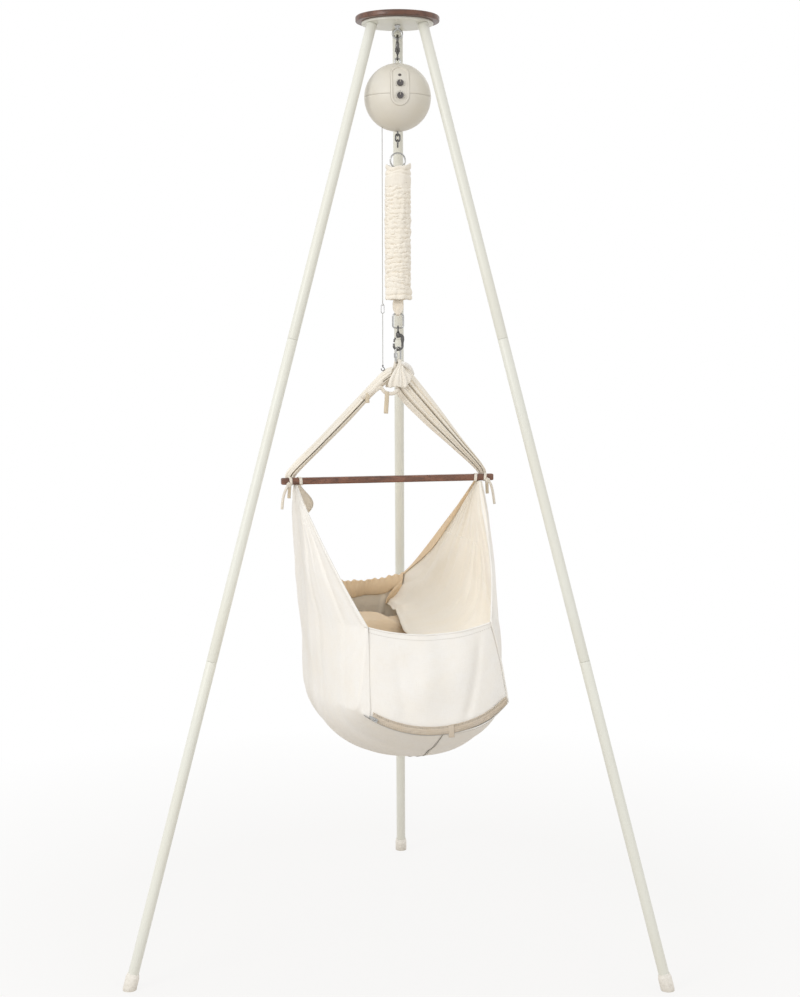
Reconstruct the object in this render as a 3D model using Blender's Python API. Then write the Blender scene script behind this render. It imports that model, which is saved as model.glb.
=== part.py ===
"""Baby hammock that hangs by a motor and a spring from a tripod stand.

Metres, +Z up. Pieces are modelled about the stand's upright axis, which everything hangs on.
Those of the hammock are modelled with x along the spreader bar and y away from the viewer, and
then turned by HAMMOCK_TURN. When all are made, centred() moves the stand, and what hangs on
it, so that the origin is the middle of the whole object on the floor.
"""
import math

import bmesh
import bpy
from mathutils import Matrix, Vector

# Stand
STAND_HEIGHT = 2.0
FOOT_CIRCLE = 0.635
LEG_TOP_CIRCLE = 0.061
LEG_DIAMETER = 0.022
LEG_WALL = 0.0015
LEG_SECTIONS = 3
SPIGOT_LENGTH = 0.040
LEG_AZIMUTHS = {"left": 210, "right": 330, "rear": 90}
DISC_DIAMETER = 0.178
DISC_THICKNESS = 0.012
PLATE_DIAMETER = 0.152
PLATE_THICKNESS = 0.005
STUD_LENGTH = 0.030
FOOT_DIAMETER = 0.028
FOOT_HEIGHT = 0.034
FOOT_PAD_DIAMETER = 0.018
SCREW_CIRCLE = 0.112
SCREW_DIAMETER = 0.005
SCREW_HEAD = 0.0095
SCREW_LENGTH = 0.011

# Eye bolt and the snap hook that the motor hangs on
EYE_BOLT_DIAMETER = 0.008
EYE_WIRE = 0.005
EYE_RING = 0.019
NUT_WIDTH = 0.013
NUT_HEIGHT = 0.0065
UPPER_HOOK_HEIGHT = 0.0365
UPPER_HOOK_WIDTH = 0.021
HOOK_ROD = 0.0052
SWIVEL_RING = 0.011
SWIVEL_WIRE = 0.0034
SWIVEL_NECK = 0.0035
GATE_DROP = 0.011

# Motor
MOTOR_DIAMETER = 0.142
BAIL_RISE = 0.08185
SHELL_WALL = 0.0025
PANEL_WIDTH = 0.031
PANEL_LENGTH = 0.080
PANEL_RIM = 0.0045
PANEL_DEPTH = 0.036
PANEL_UP = 17.8
PANEL_ASIDE = 5.0
DIAL_DIAMETER = 0.014
DIAL_HEIGHT = 0.005
DIAL_UPS = {"speed_dial": 17.2, "timer_dial": -3.6}
LAMP_UP = 33.8
LAMP_DIAMETER = 0.005
BAIL_WIRE = 0.0035
BAIL_WIDTH = 0.015
SLOT_DEPTH = 0.011
REEL_RADIUS = 0.010
REEL_WIDTH = 0.008
GEAR_MOTOR_DIAMETER = 0.037
GEAR_MOTOR_LENGTH = 0.040

# Links, ring and spring
LINK_LENGTH = 0.019
LINK_WIDTH = 0.0125
LINK_WIRE = 0.0035
LINKS = 3
RING_DIAMETER = 0.035
RING_DROP = 0.1158
SPRING_DIAMETER = 0.037
SPRING_WIRE = 0.003
SPRING_CURLS = 13
SPRING_EYE = 0.022
CURL_POINTS = 8
SLEEVE_DIAMETER = 0.0545
SLEEVE_LENGTH = 0.2735
SLEEVE_DROP = 0.00475
SLEEVE_CLOTH = 0.0025
SLEEVE_NECK = 0.0094
RUCHES = 14
RUCHE_DEPTH = 0.0022
WEBBING_WIDTH = 0.0185
WEBBING_THICKNESS = 0.0018
WEBBING_GATHERED = 0.008
UPPER_LOOP_LENGTH = 0.024
LOWER_LOOP_LENGTH = 0.036
SLEEVE_MARGIN = 0.0657
LONG_RING_CORNER = 0.005
STRAIGHT_BAR = 1.0
RING_WIDTH = 0.026
RING_HEIGHT = 0.033

# Pull line
LINE_X = -0.033
LINE_Y = -0.006
LINE_DIAMETER = 0.0018
CLIP_LENGTH = 0.020
CLIP_WIDTH = 0.008
CLIP_WIRE = 0.0016
CLIP_RISE = 0.019
SHOULDER_DROP = 0.0167

# Lower snap hook and quick link
HOOK_HEIGHT = 0.039
HOOK_WIDTH = 0.024
LINK_TURN = 50
QUICK_LINK_LENGTH = 0.038
QUICK_LINK_WIDTH = 0.020
QUICK_LINK_WIRE = 0.004

# Hammock
HAMMOCK_TURN = 13.5
HAMMOCK_ASIDE = -0.022
BAR_LENGTH = 0.470
BAR_SIZE = 0.0145
BAR_DROP = 0.250
TIE_SPREAD = 0.410
CLOTH = 0.0024
CORNER_WIDTH = 0.125
CORNER_REACH = 0.360
CORNER_DROP = 0.260
ZIP_HALF = 0.150
ZIP_REACH = 0.375
ZIP_LOW = 0.420
ZIP_BOW = 0.035
ZIP_DROP = 0.047
WALL_WIDTH = 0.178
WALL_DROP = 0.435
KEEL_DROP = 0.590
PANEL_BOW = 0.012
PANEL_SAG = 0.017
PANEL_LIFT = 0.0032
MATTRESS_THICKNESS = 0.075
MATTRESS_CROWN = 0.012
MATTRESS_END_RISE = 0.045
MATTRESS_FIRST_ROW = 7
CLOTH_ROWS = (5, 3, 5)
CLOTH_COLUMNS = 16
STRAP_WIDTH = 0.034
STRAP_FOLD = 0.007
STRAP_FOLDS = 2.5
STRAP_HEAD = 0.016
STRAP_HEAD_DROP = 0.0245
STRAP_CLOTH = 0.0035
BUNCH_WIDTH = 0.036
NECK_WIDTH = 0.020
NECK_DEPTH = 0.0095
RIBBON = 0.0012
RIBBON_WIDTH = 0.008
KNOT = 0.009
ZIP_WIDTH = 0.016
ZIP_TAPE = 0.0018
ZIP_EASE = 0.0040
ZIP_SLIDER = -0.78
V_CORNER = 0.40
V_ZIP = 0.64

# Clearances
GAP = 0.0003
LOOSE = 0.0005
SEAM = 0.0006

UPRIGHT = Matrix.Identity(4)
TURNED = Matrix.Rotation(math.radians(HAMMOCK_TURN), 4, "Z")
PLATE_TOP = STAND_HEIGHT - DISC_THICKNESS - GAP
PLATE_UNDER = PLATE_TOP - PLATE_THICKNESS
EYE_Z = PLATE_UNDER - 0.0185
EYE_BAR_Z = EYE_Z - EYE_RING / 2
BOW_Z = EYE_BAR_Z + (EYE_WIRE + HOOK_ROD) / 2 + LOOSE
SWIVEL_Z = BOW_Z + HOOK_ROD / 2 - UPPER_HOOK_HEIGHT
SWIVEL_BAR_Z = SWIVEL_Z - 0.0055 - SWIVEL_RING
BAIL_Z = SWIVEL_BAR_Z + (SWIVEL_WIRE + BAIL_WIRE) / 2 + LOOSE
MOTOR_Z = BAIL_Z - BAIL_RISE
MOTOR_RADIUS = MOTOR_DIAMETER / 2
LINK_STEP = LINK_WIRE + GAP
RING_TOP_Z = MOTOR_Z - RING_DROP
LINK_REACH = LINK_LENGTH - LINK_WIRE
MOTOR_EYE_Z = RING_TOP_Z + LINKS * (LINK_REACH - LINK_STEP) - LINK_STEP
LONG_RING_TOP = RING_TOP_Z - SLEEVE_LENGTH - SLEEVE_MARGIN
LONG_RING_FOOT = LONG_RING_TOP - RING_HEIGHT + LINK_WIRE / 2
HOOK_RING_TOP = LONG_RING_FOOT + (LINK_WIRE + SWIVEL_WIRE) / 2 + GAP
HOOK_BOSS_TOP = HOOK_RING_TOP - SWIVEL_RING - SWIVEL_NECK
HOOK_BAR_Z = HOOK_BOSS_TOP - HOOK_HEIGHT + HOOK_ROD / 2
LINK_BAR_Z = (HOOK_BAR_Z + (HOOK_ROD + QUICK_LINK_WIRE) / 2 + LOOSE + GAP
              - (QUICK_LINK_LENGTH - QUICK_LINK_WIRE))
BAR_Z = LINK_BAR_Z - BAR_DROP
TIE_TOP = BAR_Z - BAR_SIZE / 2 - RIBBON - 2 * GAP
CORNER = (CORNER_WIDTH, CORNER_REACH, BAR_Z - CORNER_DROP)
ZIP_END = (ZIP_HALF, ZIP_REACH, BAR_Z - ZIP_LOW)
WALL_FOOT = (WALL_WIDTH, BAR_Z - WALL_DROP)
KEEL_Z = BAR_Z - KEEL_DROP

PALE = (0.83, 0.80, 0.73)
MATERIALS = {
    "walnut": ((0.095, 0.032, 0.022), 0.45, 0.0),
    "cream_steel": ((0.80, 0.78, 0.72), 0.38, 0.0),
    "chrome": ((0.62, 0.61, 0.59), 0.18, 1.0),
    "gunmetal": ((0.13, 0.125, 0.12), 0.30, 1.0),
    "cream_plastic": ((0.74, 0.71, 0.64), 0.42, 0.0),
    "dark_plastic": ((0.06, 0.06, 0.065), 0.45, 0.0),
    "grey_rubber": ((0.62, 0.60, 0.55), 0.70, 0.0),
    "board": ((0.03, 0.16, 0.07), 0.55, 0.0),
    "spring_steel": ((0.36, 0.36, 0.36), 0.30, 1.0),
    "cotton": (PALE, 0.85, 0.0),
    "ribbon": ((0.80, 0.76, 0.68), 0.80, 0.0),
    "lining": ((0.72, 0.60, 0.44), 0.85, 0.0),
    "zip": ((0.62, 0.56, 0.46), 0.75, 0.0),
    "line": ((0.72, 0.72, 0.70), 0.50, 0.0),
}


def material(name):
    """A Principled material with the colour, roughness and metallic value of its finish."""
    if name in bpy.data.materials:
        return bpy.data.materials[name]
    colour, roughness, metallic = MATERIALS[name]
    made = bpy.data.materials.new(name)
    made.use_nodes = True
    shader = made.node_tree.nodes["Principled BSDF"]
    shader.inputs["Base Color"].default_value = (*colour, 1.0)
    shader.inputs["Roughness"].default_value = roughness
    shader.inputs["Metallic"].default_value = metallic
    made.diffuse_color = (*colour, 1.0)
    return made


# Empties that stand on the joints' axes
def joint_frame(name, at, parent=None, turned=False):
    """An empty on a joint's axis."""
    empty = bpy.data.objects.new(name, None)
    empty.empty_display_size = 0.03
    bpy.context.collection.objects.link(empty)
    place = Matrix.Translation(Vector(at))
    if turned:
        place = place @ TURNED
    if parent:
        empty.parent = parent
        place = world_of(parent).inverted() @ place
    empty.matrix_basis = place
    return empty


def world_of(thing):
    """Where an empty stands, worked out from its parents."""
    if thing.parent:
        return world_of(thing.parent) @ thing.matrix_basis
    return thing.matrix_basis.copy()


def seat(thing, frame, finish, turned=False, smooth=35):
    """Hangs a piece, modelled about the stand's axis, on its joint's empty."""
    place = TURNED @ Matrix.Translation((HAMMOCK_ASIDE, 0, 0)) if turned else UPRIGHT
    thing.data.transform(world_of(frame).inverted() @ place)
    thing.parent = frame
    thing.data.materials.clear()
    thing.data.materials.append(material(finish))
    if smooth and thing.type == "MESH":
        thing.data.shade_smooth()
        thing.data.set_sharp_from_angle(angle=math.radians(smooth))
    return thing


# Shapes
def mesh_object(name, bm):
    """A new object from a bmesh, with its faces turned outwards."""
    bmesh.ops.recalc_face_normals(bm, faces=bm.faces)
    mesh = bpy.data.meshes.new(name)
    bm.to_mesh(mesh)
    bm.free()
    made = bpy.data.objects.new(name, mesh)
    bpy.context.collection.objects.link(made)
    return made


def turned_shape(bm, profile, sides):
    """Spins a profile of (radius, height) points about Z. A closed ring of points that stays off
    the axis makes a tube, and one that starts and ends on it makes a solid."""
    start = [bm.verts.new((r, 0.0, z)) for r, z in profile]
    edges = [bm.edges.new(pair) for pair in zip(start, start[1:])]
    if min(profile[0][0], profile[-1][0]) > 1e-6:
        edges.append(bm.edges.new((start[-1], start[0])))
    bmesh.ops.spin(bm, geom=start + edges, cent=(0, 0, 0), axis=(0, 0, 1),
                   angle=math.tau, steps=sides, use_merge=True)


def lathe(name, profile, sides=24, place=UPRIGHT):
    """A turned piece as its own object."""
    bm = bmesh.new()
    turned_shape(bm, profile, sides)
    bmesh.ops.remove_doubles(bm, verts=bm.verts, dist=1e-6)
    bmesh.ops.transform(bm, matrix=place, verts=bm.verts)
    return mesh_object(name, bm)


def loft(name, rings, closed=False):
    """Joins rings of as many points each, and fills the first and last unless they meet."""
    bm = bmesh.new()
    loft_into(bm, rings, closed)
    return mesh_object(name, bm)


def loft_into(bm, rings, closed=False):
    rows = [[bm.verts.new(p) for p in ring] for ring in rings]
    pairs = list(zip(rows, rows[1:]))
    if closed:
        pairs.append((rows[-1], rows[0]))
    for a, b in pairs:
        for i in range(len(a)):
            j = (i + 1) % len(a)
            bm.faces.new((a[i], a[j], b[j], b[i]))
    if not closed:
        bm.faces.new(rows[0])
        bm.faces.new(rows[-1])


def shell_patch(name, outer, inner):
    """A sheet with a thickness, from two grids of points, one for each side."""
    bm = bmesh.new()
    rows = [[[bm.verts.new(p) for p in row] for row in grid] for grid in (outer, inner)]
    last, end = len(outer) - 1, len(outer[0]) - 1
    for grid in rows:
        for i in range(last):
            for j in range(end):
                bm.faces.new((grid[i][j], grid[i + 1][j], grid[i + 1][j + 1], grid[i][j + 1]))
    rim = ([(0, j) for j in range(end)] + [(i, end) for i in range(last)]
           + [(last, j) for j in range(end, 0, -1)] + [(i, 0) for i in range(last, 0, -1)])
    for (i, j), (k, m) in zip(rim, rim[1:] + rim[:1]):
        bm.faces.new((rows[0][i][j], rows[0][k][m], rows[1][k][m], rows[1][i][j]))
    return mesh_object(name, bm)


def wire(name, points, thickness, closed=False, roundness=1):
    """A rod bent along points: a curve with a round bevel and filled ends."""
    curve = bpy.data.curves.new(name, "CURVE")
    curve.dimensions = "3D"
    curve.bevel_depth = thickness / 2
    curve.bevel_resolution = roundness
    curve.use_fill_caps = True
    line = curve.splines.new("POLY")
    line.points.add(len(points) - 1)
    for point, place in zip(line.points, points):
        point.co = (*place, 1.0)
    line.use_cyclic_u = closed
    made = bpy.data.objects.new(name, curve)
    bpy.context.collection.objects.link(made)
    return made


def arc(centre, radius, start, stop, steps, plane="xz"):
    """Points on an arc, in degrees, in the plane of two axes, the first at 0 degrees."""
    across, up = ("xyz".index(k) for k in plane)
    points = []
    for i in range(steps + 1):
        angle = math.radians(start + (stop - start) * i / steps)
        point = list(centre)
        point[across] += radius * math.cos(angle)
        point[up] += radius * math.sin(angle)
        points.append(tuple(point))
    return points


def stadium(centre, length, width, steps=5, plane="xz"):
    """A closed loop with straight sides and round ends, upright, along its wire's middle."""
    across, up = ("xyz".index(k) for k in plane)
    points = []
    for sign, start in ((1, 0), (-1, 180)):
        middle = list(centre)
        middle[up] += sign * (length - width) / 2
        points += arc(middle, width / 2, start, start + 180, steps, plane)
    return points


def union(target, *others):
    """Joins other solids to one by exact unions, which stay on it as modifiers."""
    for other in others:
        cut = target.modifiers.new("join_" + other.name, "BOOLEAN")
        cut.operation = "UNION"
        cut.object = other
        helper(other)
    return target


def subtract(target, *others):
    """Cuts other solids from one by exact differences."""
    for other in others:
        cut = target.modifiers.new("cut_" + other.name, "BOOLEAN")
        cut.operation = "DIFFERENCE"
        cut.object = other
        helper(other)
    return target


def helper(thing):
    thing.hide_render = True
    thing.display_type = "WIRE"


def meshed(thing):
    """A curve's rod as a mesh, for a union."""
    graph = bpy.context.evaluated_depsgraph_get()
    mesh = bpy.data.meshes.new_from_object(thing.evaluated_get(graph))
    name = thing.name
    bpy.data.objects.remove(thing)
    made = bpy.data.objects.new(name, mesh)
    bpy.context.collection.objects.link(made)
    return made


def applied(thing):
    """The object with its modifiers made part of its mesh, and its helpers removed."""
    graph = bpy.context.evaluated_depsgraph_get()
    mesh = bpy.data.meshes.new_from_object(thing.evaluated_get(graph))
    used = [m.object for m in thing.modifiers if m.type == "BOOLEAN"]
    name = thing.name
    bpy.data.objects.remove(thing)
    for other in used:
        bpy.data.objects.remove(other)
    made = bpy.data.objects.new(name, mesh)
    bpy.context.collection.objects.link(made)
    return made


def cylinder(name, radius, low, high, sides=20, place=UPRIGHT):
    return lathe(name, [(0, low), (radius, low), (radius, high), (0, high)], sides, place)


# Stand
def leg_direction(azimuth):
    """Foot and top of a leg's axis, and the turn that stands a piece along it."""
    angle = math.radians(azimuth)
    outward = Vector((math.cos(angle), math.sin(angle), 0))
    foot = outward * FOOT_CIRCLE
    top = outward * LEG_TOP_CIRCLE + Vector((0, 0, PLATE_UNDER))
    along = (top - foot).normalized()
    turn = Vector((0, 0, 1)).rotation_difference(along).to_matrix().to_4x4()
    return foot, top, along, turn


def leg_places():
    """Lengths along a leg from its foot: rubber's top, the joints and the plate."""
    foot, top, along, turn = leg_direction(90)
    whole = (top - foot).length
    slant = LEG_DIAMETER / 2 * math.sqrt(1 - along.z ** 2) / along.z
    start = 0.008
    stop = whole - slant - GAP
    step = whole / LEG_SECTIONS
    return start, [step * (i + 1) for i in range(LEG_SECTIONS - 1)], stop


def tube_section(name, low, high, spigot, place):
    """One length of leg tube. All but the top one end in a swaged spigot that fits in the next."""
    outer = LEG_DIAMETER / 2
    bore = outer - LEG_WALL
    if not spigot:
        profile = [(outer, low), (outer, high), (bore, high), (bore, low)]
        return lathe(name, profile, 14, place)
    neck = bore - GAP
    hollow = neck - LEG_WALL
    profile = [(outer, low), (outer, high), (neck, high), (neck, high + SPIGOT_LENGTH),
               (hollow, high + SPIGOT_LENGTH), (hollow, high - 0.004), (bore, high - 0.008), (bore, low)]
    return lathe(name, profile, 14, place)


def make_legs(stand):
    start, joints, stop = leg_places()
    names = ("leg_lower_", "leg_middle_", "leg_upper_")
    lows = [start] + [joint + GAP for joint in joints]
    highs = joints + [stop]
    for side, azimuth in LEG_AZIMUTHS.items():
        foot, top, along, turn = leg_direction(azimuth)
        place = Matrix.Translation(foot) @ turn
        for kind, low, high in zip(names, lows, highs):
            spigot = kind != "leg_upper_"
            seat(tube_section(kind + side, low, high, spigot, place), stand, "cream_steel")
        make_foot(side, place, stand)


def make_foot(side, place, stand):
    """A rubber ferrule round the tube's end, cut flat where it stands."""
    radius = FOOT_DIAMETER / 2
    bore = LEG_DIAMETER / 2 + GAP
    profile = [(0, -0.009), (FOOT_PAD_DIAMETER / 2, -0.009), (radius - 0.0015, -0.004), (radius, 0.003),
               (radius, FOOT_HEIGHT - 0.006), (radius - 0.0012, FOOT_HEIGHT - 0.004),
               (bore + 0.0012, FOOT_HEIGHT), (bore, FOOT_HEIGHT), (bore, 0.008 - GAP), (0, 0.008 - GAP)]
    bm = bmesh.new()
    turned_shape(bm, profile, 14)
    bmesh.ops.remove_doubles(bm, verts=bm.verts, dist=1e-6)
    bmesh.ops.transform(bm, matrix=place, verts=bm.verts)
    cut = bmesh.ops.bisect_plane(bm, geom=bm.verts[:] + bm.edges[:] + bm.faces[:], dist=1e-6,
                                 plane_co=(0, 0, 0), plane_no=(0, 0, 1), clear_inner=True)
    bmesh.ops.contextual_create(bm, geom=[e for e in cut["geom_cut"] if isinstance(e, bmesh.types.BMEdge)])
    seat(mesh_object("foot_" + side, bm), stand, "grey_rubber")


def make_head(stand):
    """The wooden disc, the plate under it with its studs, the screws and the eye bolt."""
    radius = DISC_DIAMETER / 2
    nut_room = NUT_WIDTH / 2 / math.cos(math.pi / 6) + 0.0012
    room_top = PLATE_TOP + NUT_HEIGHT + 0.0015
    disc = lathe("top_disc", [(0, STAND_HEIGHT), (radius - 0.003, STAND_HEIGHT), (radius, STAND_HEIGHT - 0.003),
                              (radius, PLATE_TOP + GAP + 0.002), (radius - 0.002, PLATE_TOP + GAP),
                              (nut_room, PLATE_TOP + GAP), (nut_room, room_top), (0, room_top)], 28)
    plate_radius = PLATE_DIAMETER / 2
    bore = EYE_BOLT_DIAMETER / 2 + GAP
    plate = lathe("leg_plate", [(bore, PLATE_TOP), (plate_radius - 0.001, PLATE_TOP),
                                (plate_radius, PLATE_TOP - 0.001), (plate_radius, PLATE_UNDER + 0.001),
                                (plate_radius - 0.001, PLATE_UNDER), (bore, PLATE_UNDER)], 28)
    stud_radius = LEG_DIAMETER / 2 - LEG_WALL - GAP
    for side, azimuth in LEG_AZIMUTHS.items():
        foot, top, along, turn = leg_direction(azimuth)
        place = Matrix.Translation(top) @ turn
        stud = lathe("stud_" + side, [(0, -STUD_LENGTH), (stud_radius - 0.001, -STUD_LENGTH),
                                      (stud_radius, -STUD_LENGTH + 0.001), (stud_radius, 0.001), (0, 0.001)],
                     12, place)
        union(plate, stud)
    for i in range(3):
        angle = math.radians(30 + 120 * i)
        at = Matrix.Translation((SCREW_CIRCLE / 2 * math.cos(angle), SCREW_CIRCLE / 2 * math.sin(angle), PLATE_UNDER))
        screw = lathe("screw_%d" % i, [(0, -0.0022), (SCREW_HEAD * 0.3, -0.0020), (SCREW_HEAD / 2, -0.0006),
                                       (SCREW_HEAD / 2, 0.0010), (SCREW_DIAMETER / 2, 0.0010),
                                       (SCREW_DIAMETER / 2, SCREW_LENGTH - 0.003), (0, SCREW_LENGTH)], 8, at)
        union(plate, screw)
        pilot = cylinder("pilot_%d" % i, SCREW_DIAMETER / 2 + GAP, -0.001, SCREW_LENGTH + GAP * 2, 8, at)
        subtract(disc, pilot)
    seat(applied(disc), stand, "walnut")
    seat(applied(plate), stand, "cream_steel")
    make_eye_bolt(stand)


def make_eye_bolt(stand):
    """A forged eye under the plate, and the lock nut in the disc's pocket that holds it."""
    radius = EYE_BOLT_DIAMETER / 2
    collar = EYE_BOLT_DIAMETER / 2 + 0.0025
    top = PLATE_TOP + NUT_HEIGHT + 0.0008
    shank = lathe("eye_bolt", [(0, top), (radius - 0.0006, top), (radius, top - 0.0006), (radius, PLATE_UNDER - GAP),
                               (collar, PLATE_UNDER - GAP), (collar, PLATE_UNDER - 0.0025),
                               (radius - 0.001, EYE_Z + EYE_RING / 2 + 0.0005),
                               (0, EYE_Z + EYE_RING / 2 - 0.001)], 16)
    ring = wire("eye_ring", arc((0, 0, EYE_Z), EYE_RING / 2, 0, 340, 17), EYE_WIRE, closed=True)
    union(shank, meshed(ring))
    seat(applied(shank), stand, "chrome")
    across = NUT_WIDTH / 2 / math.cos(math.pi / 6)
    low, high = PLATE_TOP + GAP, PLATE_TOP + GAP + NUT_HEIGHT
    bore = radius + GAP
    nut = bmesh.new()
    rings = []
    for r, z in ((across, low), (across, high), (bore, high), (bore, low)):
        rings.append([(r * math.cos(math.radians(30 * i)) * hexed(i, r, bore), r * math.sin(math.radians(30 * i))
                       * hexed(i, r, bore), z) for i in range(12)])
    loft_into(nut, rings, closed=True)
    seat(mesh_object("eye_nut", nut), stand, "chrome", smooth=20)


def hexed(step, radius, bore):
    """Draws every other point of a twelve-sided ring in to the flats of a hexagon."""
    if radius <= bore or step % 2 == 0:
        return 1.0
    return math.cos(math.pi / 6)


# Snap hooks
def rounded(points, steps=3):
    """A smooth open curve through points, with so many steps between two of them."""
    places = [Vector(p) for p in points]
    result = []
    for i in range(len(places) - 1):
        before = places[max(i - 1, 0)]
        a, b = places[i], places[i + 1]
        after = places[min(i + 2, len(places) - 1)]
        for k in range(steps):
            t = k / steps
            result.append(0.5 * (2 * a + (b - before) * t + (2 * before - 5 * a + 4 * b - after) * t ** 2
                                 + (3 * a - before - 3 * b + after) * t ** 3))
    result.append(places[-1])
    return [tuple(p) for p in result]


def hook_body(name, width, height, rod, boss_top, boss_height, boss_radius, bore, flip):
    """A snap hook's frame in the xz plane: boss, shouldered spine, bow and nose.

    The boss is at the top, or at the bottom where flip is -1."""
    half = (width - rod) / 2
    bow_z = boss_top - height + rod / 2 + half
    path = [(boss_radius * 0.8, boss_top - boss_height * 0.5), (half * 0.9, boss_top - boss_height + 0.0004),
            (half, boss_top - boss_height - 0.006), (half, bow_z + half * 0.35)]
    path = [(x, 0.0, z) for x, z in path]
    route = rounded(path, 2) + arc((0, 0, bow_z), half, 0, -180, 9)[1:]
    route.append((-half * 0.98, 0.0, bow_z + half * 0.45))
    boss = lathe(name, [(bore, boss_top), (boss_radius - 0.0008, boss_top), (boss_radius, boss_top - 0.0008),
                        (boss_radius, boss_top - boss_height + 0.001), (boss_radius - 0.001, boss_top - boss_height),
                        (bore, boss_top - boss_height)], 12)
    frame = wire(name + "_rod", route, rod, roundness=2)
    clear = cylinder(name + "_bore", bore, boss_top - boss_height - 0.004, boss_top + 0.001, 12)
    union(boss, meshed(frame))
    subtract(boss, clear)
    made = applied(boss)
    if flip < 0:
        made.data.transform(Matrix.Rotation(math.pi, 4, "Y"))
    return made, half, bow_z


def make_upper_hook(hook, gate, swivel):
    """The snap hook between the stand's eye and the motor, seen from its edge, bow up."""
    boss_height, boss_radius = 0.009, 0.0055
    stem = SWIVEL_WIRE / 2 + 0.0008
    body, half, bow = hook_body("upper_hook", UPPER_HOOK_WIDTH, UPPER_HOOK_HEIGHT, HOOK_ROD, 0.0, boss_height,
                                boss_radius, stem + GAP, -1)
    body.data.transform(Matrix.Rotation(math.pi / 2, 4, "Z"))
    body.data.transform(Matrix.Translation((0, 0, SWIVEL_Z)))
    seat(body, hook, "gunmetal")
    gate_low = (0.0, half * 0.42, SWIVEL_Z + boss_height + 0.0035)
    gate_high = (0.0, half * 0.98, SWIVEL_Z - bow - half * 0.45 - HOOK_ROD / 2 - GAP)
    bar = wire("upper_gate", [gate_low, gate_high], HOOK_ROD * 0.72, roundness=2)
    seat(bar, gate, "gunmetal")
    ring_z = SWIVEL_BAR_Z + SWIVEL_RING / 2
    shank = lathe("upper_swivel", [(0, SWIVEL_Z + boss_height + 0.0025),
                                   (stem + 0.0012, SWIVEL_Z + boss_height + 0.0025),
                                   (stem + 0.0012, SWIVEL_Z + boss_height + GAP),
                                   (stem, SWIVEL_Z + boss_height + GAP), (stem, SWIVEL_Z - GAP),
                                   (stem + 0.0012, SWIVEL_Z - 0.002),
                                   (0, ring_z + SWIVEL_RING / 2 - 0.001)], 12)
    ring = wire("swivel_ring", arc((0, 0, ring_z), SWIVEL_RING / 2, 0, 330, 11, "yz"), SWIVEL_WIRE, True)
    union(shank, meshed(ring))
    seat(applied(shank), swivel, "gunmetal")


# Motor
def panel_turn(up, aside=PANEL_ASIDE):
    """The turn that brings a piece's +Z to a place on the front of the ball."""
    return (Matrix.Translation((0, 0, MOTOR_Z)) @ Matrix.Rotation(math.radians(aside), 4, "Z")
            @ Matrix.Rotation(math.radians(90 - up), 4, "X"))


def pill(name, width, length, low, high, place, steps=6):
    """A prism with round ends that stands out of the ball along a panel's axis."""
    outline = stadium((0, 0, 0), length, width, steps, "xy")
    rings = [[place @ Vector((x, y, h)) for x, y, _ in outline] for h in (low, high)]
    return loft(name, rings)


def ball_shell(name, sign):
    """Half of the ball, hollow, with a lip outside or inside at the parting line."""
    outer, inner = MOTOR_RADIUS, MOTOR_RADIUS - SHELL_WALL
    lip = outer - SHELL_WALL / 2
    steps = 6
    edge = GAP / 2
    profile = [(0, outer)]
    profile += [(outer * math.sin(math.pi / 2 * i / steps), outer * math.cos(math.pi / 2 * i / steps))
                for i in range(1, steps)]
    profile.append((outer, edge))
    if sign > 0:
        profile += [(lip, edge), (lip, -0.0025), (inner, -0.0025), (inner, edge)]
    else:
        profile += [(lip + GAP, edge), (lip + GAP, 0.0025 + GAP), (inner, 0.0025 + 2 * GAP)]
    profile += [(inner * math.sin(math.pi / 2 * i / steps), inner * math.cos(math.pi / 2 * i / steps))
                for i in range(steps - 1, 0, -1)]
    profile.append((0, inner))
    flip = Matrix.Diagonal((1, 1, sign, 1))
    return lathe(name, profile, 24, Matrix.Translation((0, 0, MOTOR_Z)) @ flip)


def make_shells(motor):
    """The two halves of the ball, cut for the panel, the bails, the line and the inlet."""
    turn = panel_turn(PANEL_UP)
    slot_x, slot_y = BAIL_WIDTH / 2 + LOOSE, BAIL_WIRE / 2 + LOOSE
    for name, sign in (("upper_shell", 1), ("lower_shell", -1)):
        shell = ball_shell(name, sign)
        cutters = [pill(name + "_window", PANEL_WIDTH + 2 * PANEL_RIM + 2 * GAP, PANEL_LENGTH + 2 * PANEL_RIM + 2 * GAP,
                        MOTOR_RADIUS - PANEL_DEPTH, MOTOR_RADIUS + PANEL_DEPTH, turn)]
        if sign > 0:
            low, high = MOTOR_Z + MOTOR_RADIUS - SLOT_DEPTH, MOTOR_Z + MOTOR_RADIUS + SLOT_DEPTH
            cutters.append(box_between(name + "_bail_slot", (-slot_x, -slot_y, low), (slot_x, slot_y, high)))
        else:
            low, high = MOTOR_Z - MOTOR_RADIUS - SLOT_DEPTH, MOTOR_Z - MOTOR_RADIUS + SLOT_DEPTH
            cutters.append(box_between(name + "_eye_slot", (-slot_x, -slot_y, low), (slot_x, slot_y, high)))
            cutters.append(cylinder(name + "_line_hole", 0.0028, MOTOR_Z - 0.08, MOTOR_Z - 0.03, 10,
                                    Matrix.Translation((LINE_X, LINE_Y, 0))))
            cutters.append(lathe(name + "_inlet_hole", [(0, 0.05), (0.0052, 0.05), (0.0052, 0.08), (0, 0.08)], 14,
                                 inlet_turn()))
        subtract(shell, *cutters)
        seat(applied(shell), motor, "cream_plastic")


def box_between(name, low, high):
    """A block between two corners."""
    (x0, y0, z0), (x1, y1, z1) = low, high
    rings = [[(x0, y0, z), (x1, y0, z), (x1, y1, z), (x0, y1, z)] for z in (z0, z1)]
    return loft(name, rings)


def inlet_turn():
    """The turn that brings +Z to the power inlet, low on the back of the ball."""
    return Matrix.Translation((0, 0, MOTOR_Z)) @ Matrix.Rotation(math.radians(-112), 4, "X")


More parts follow.
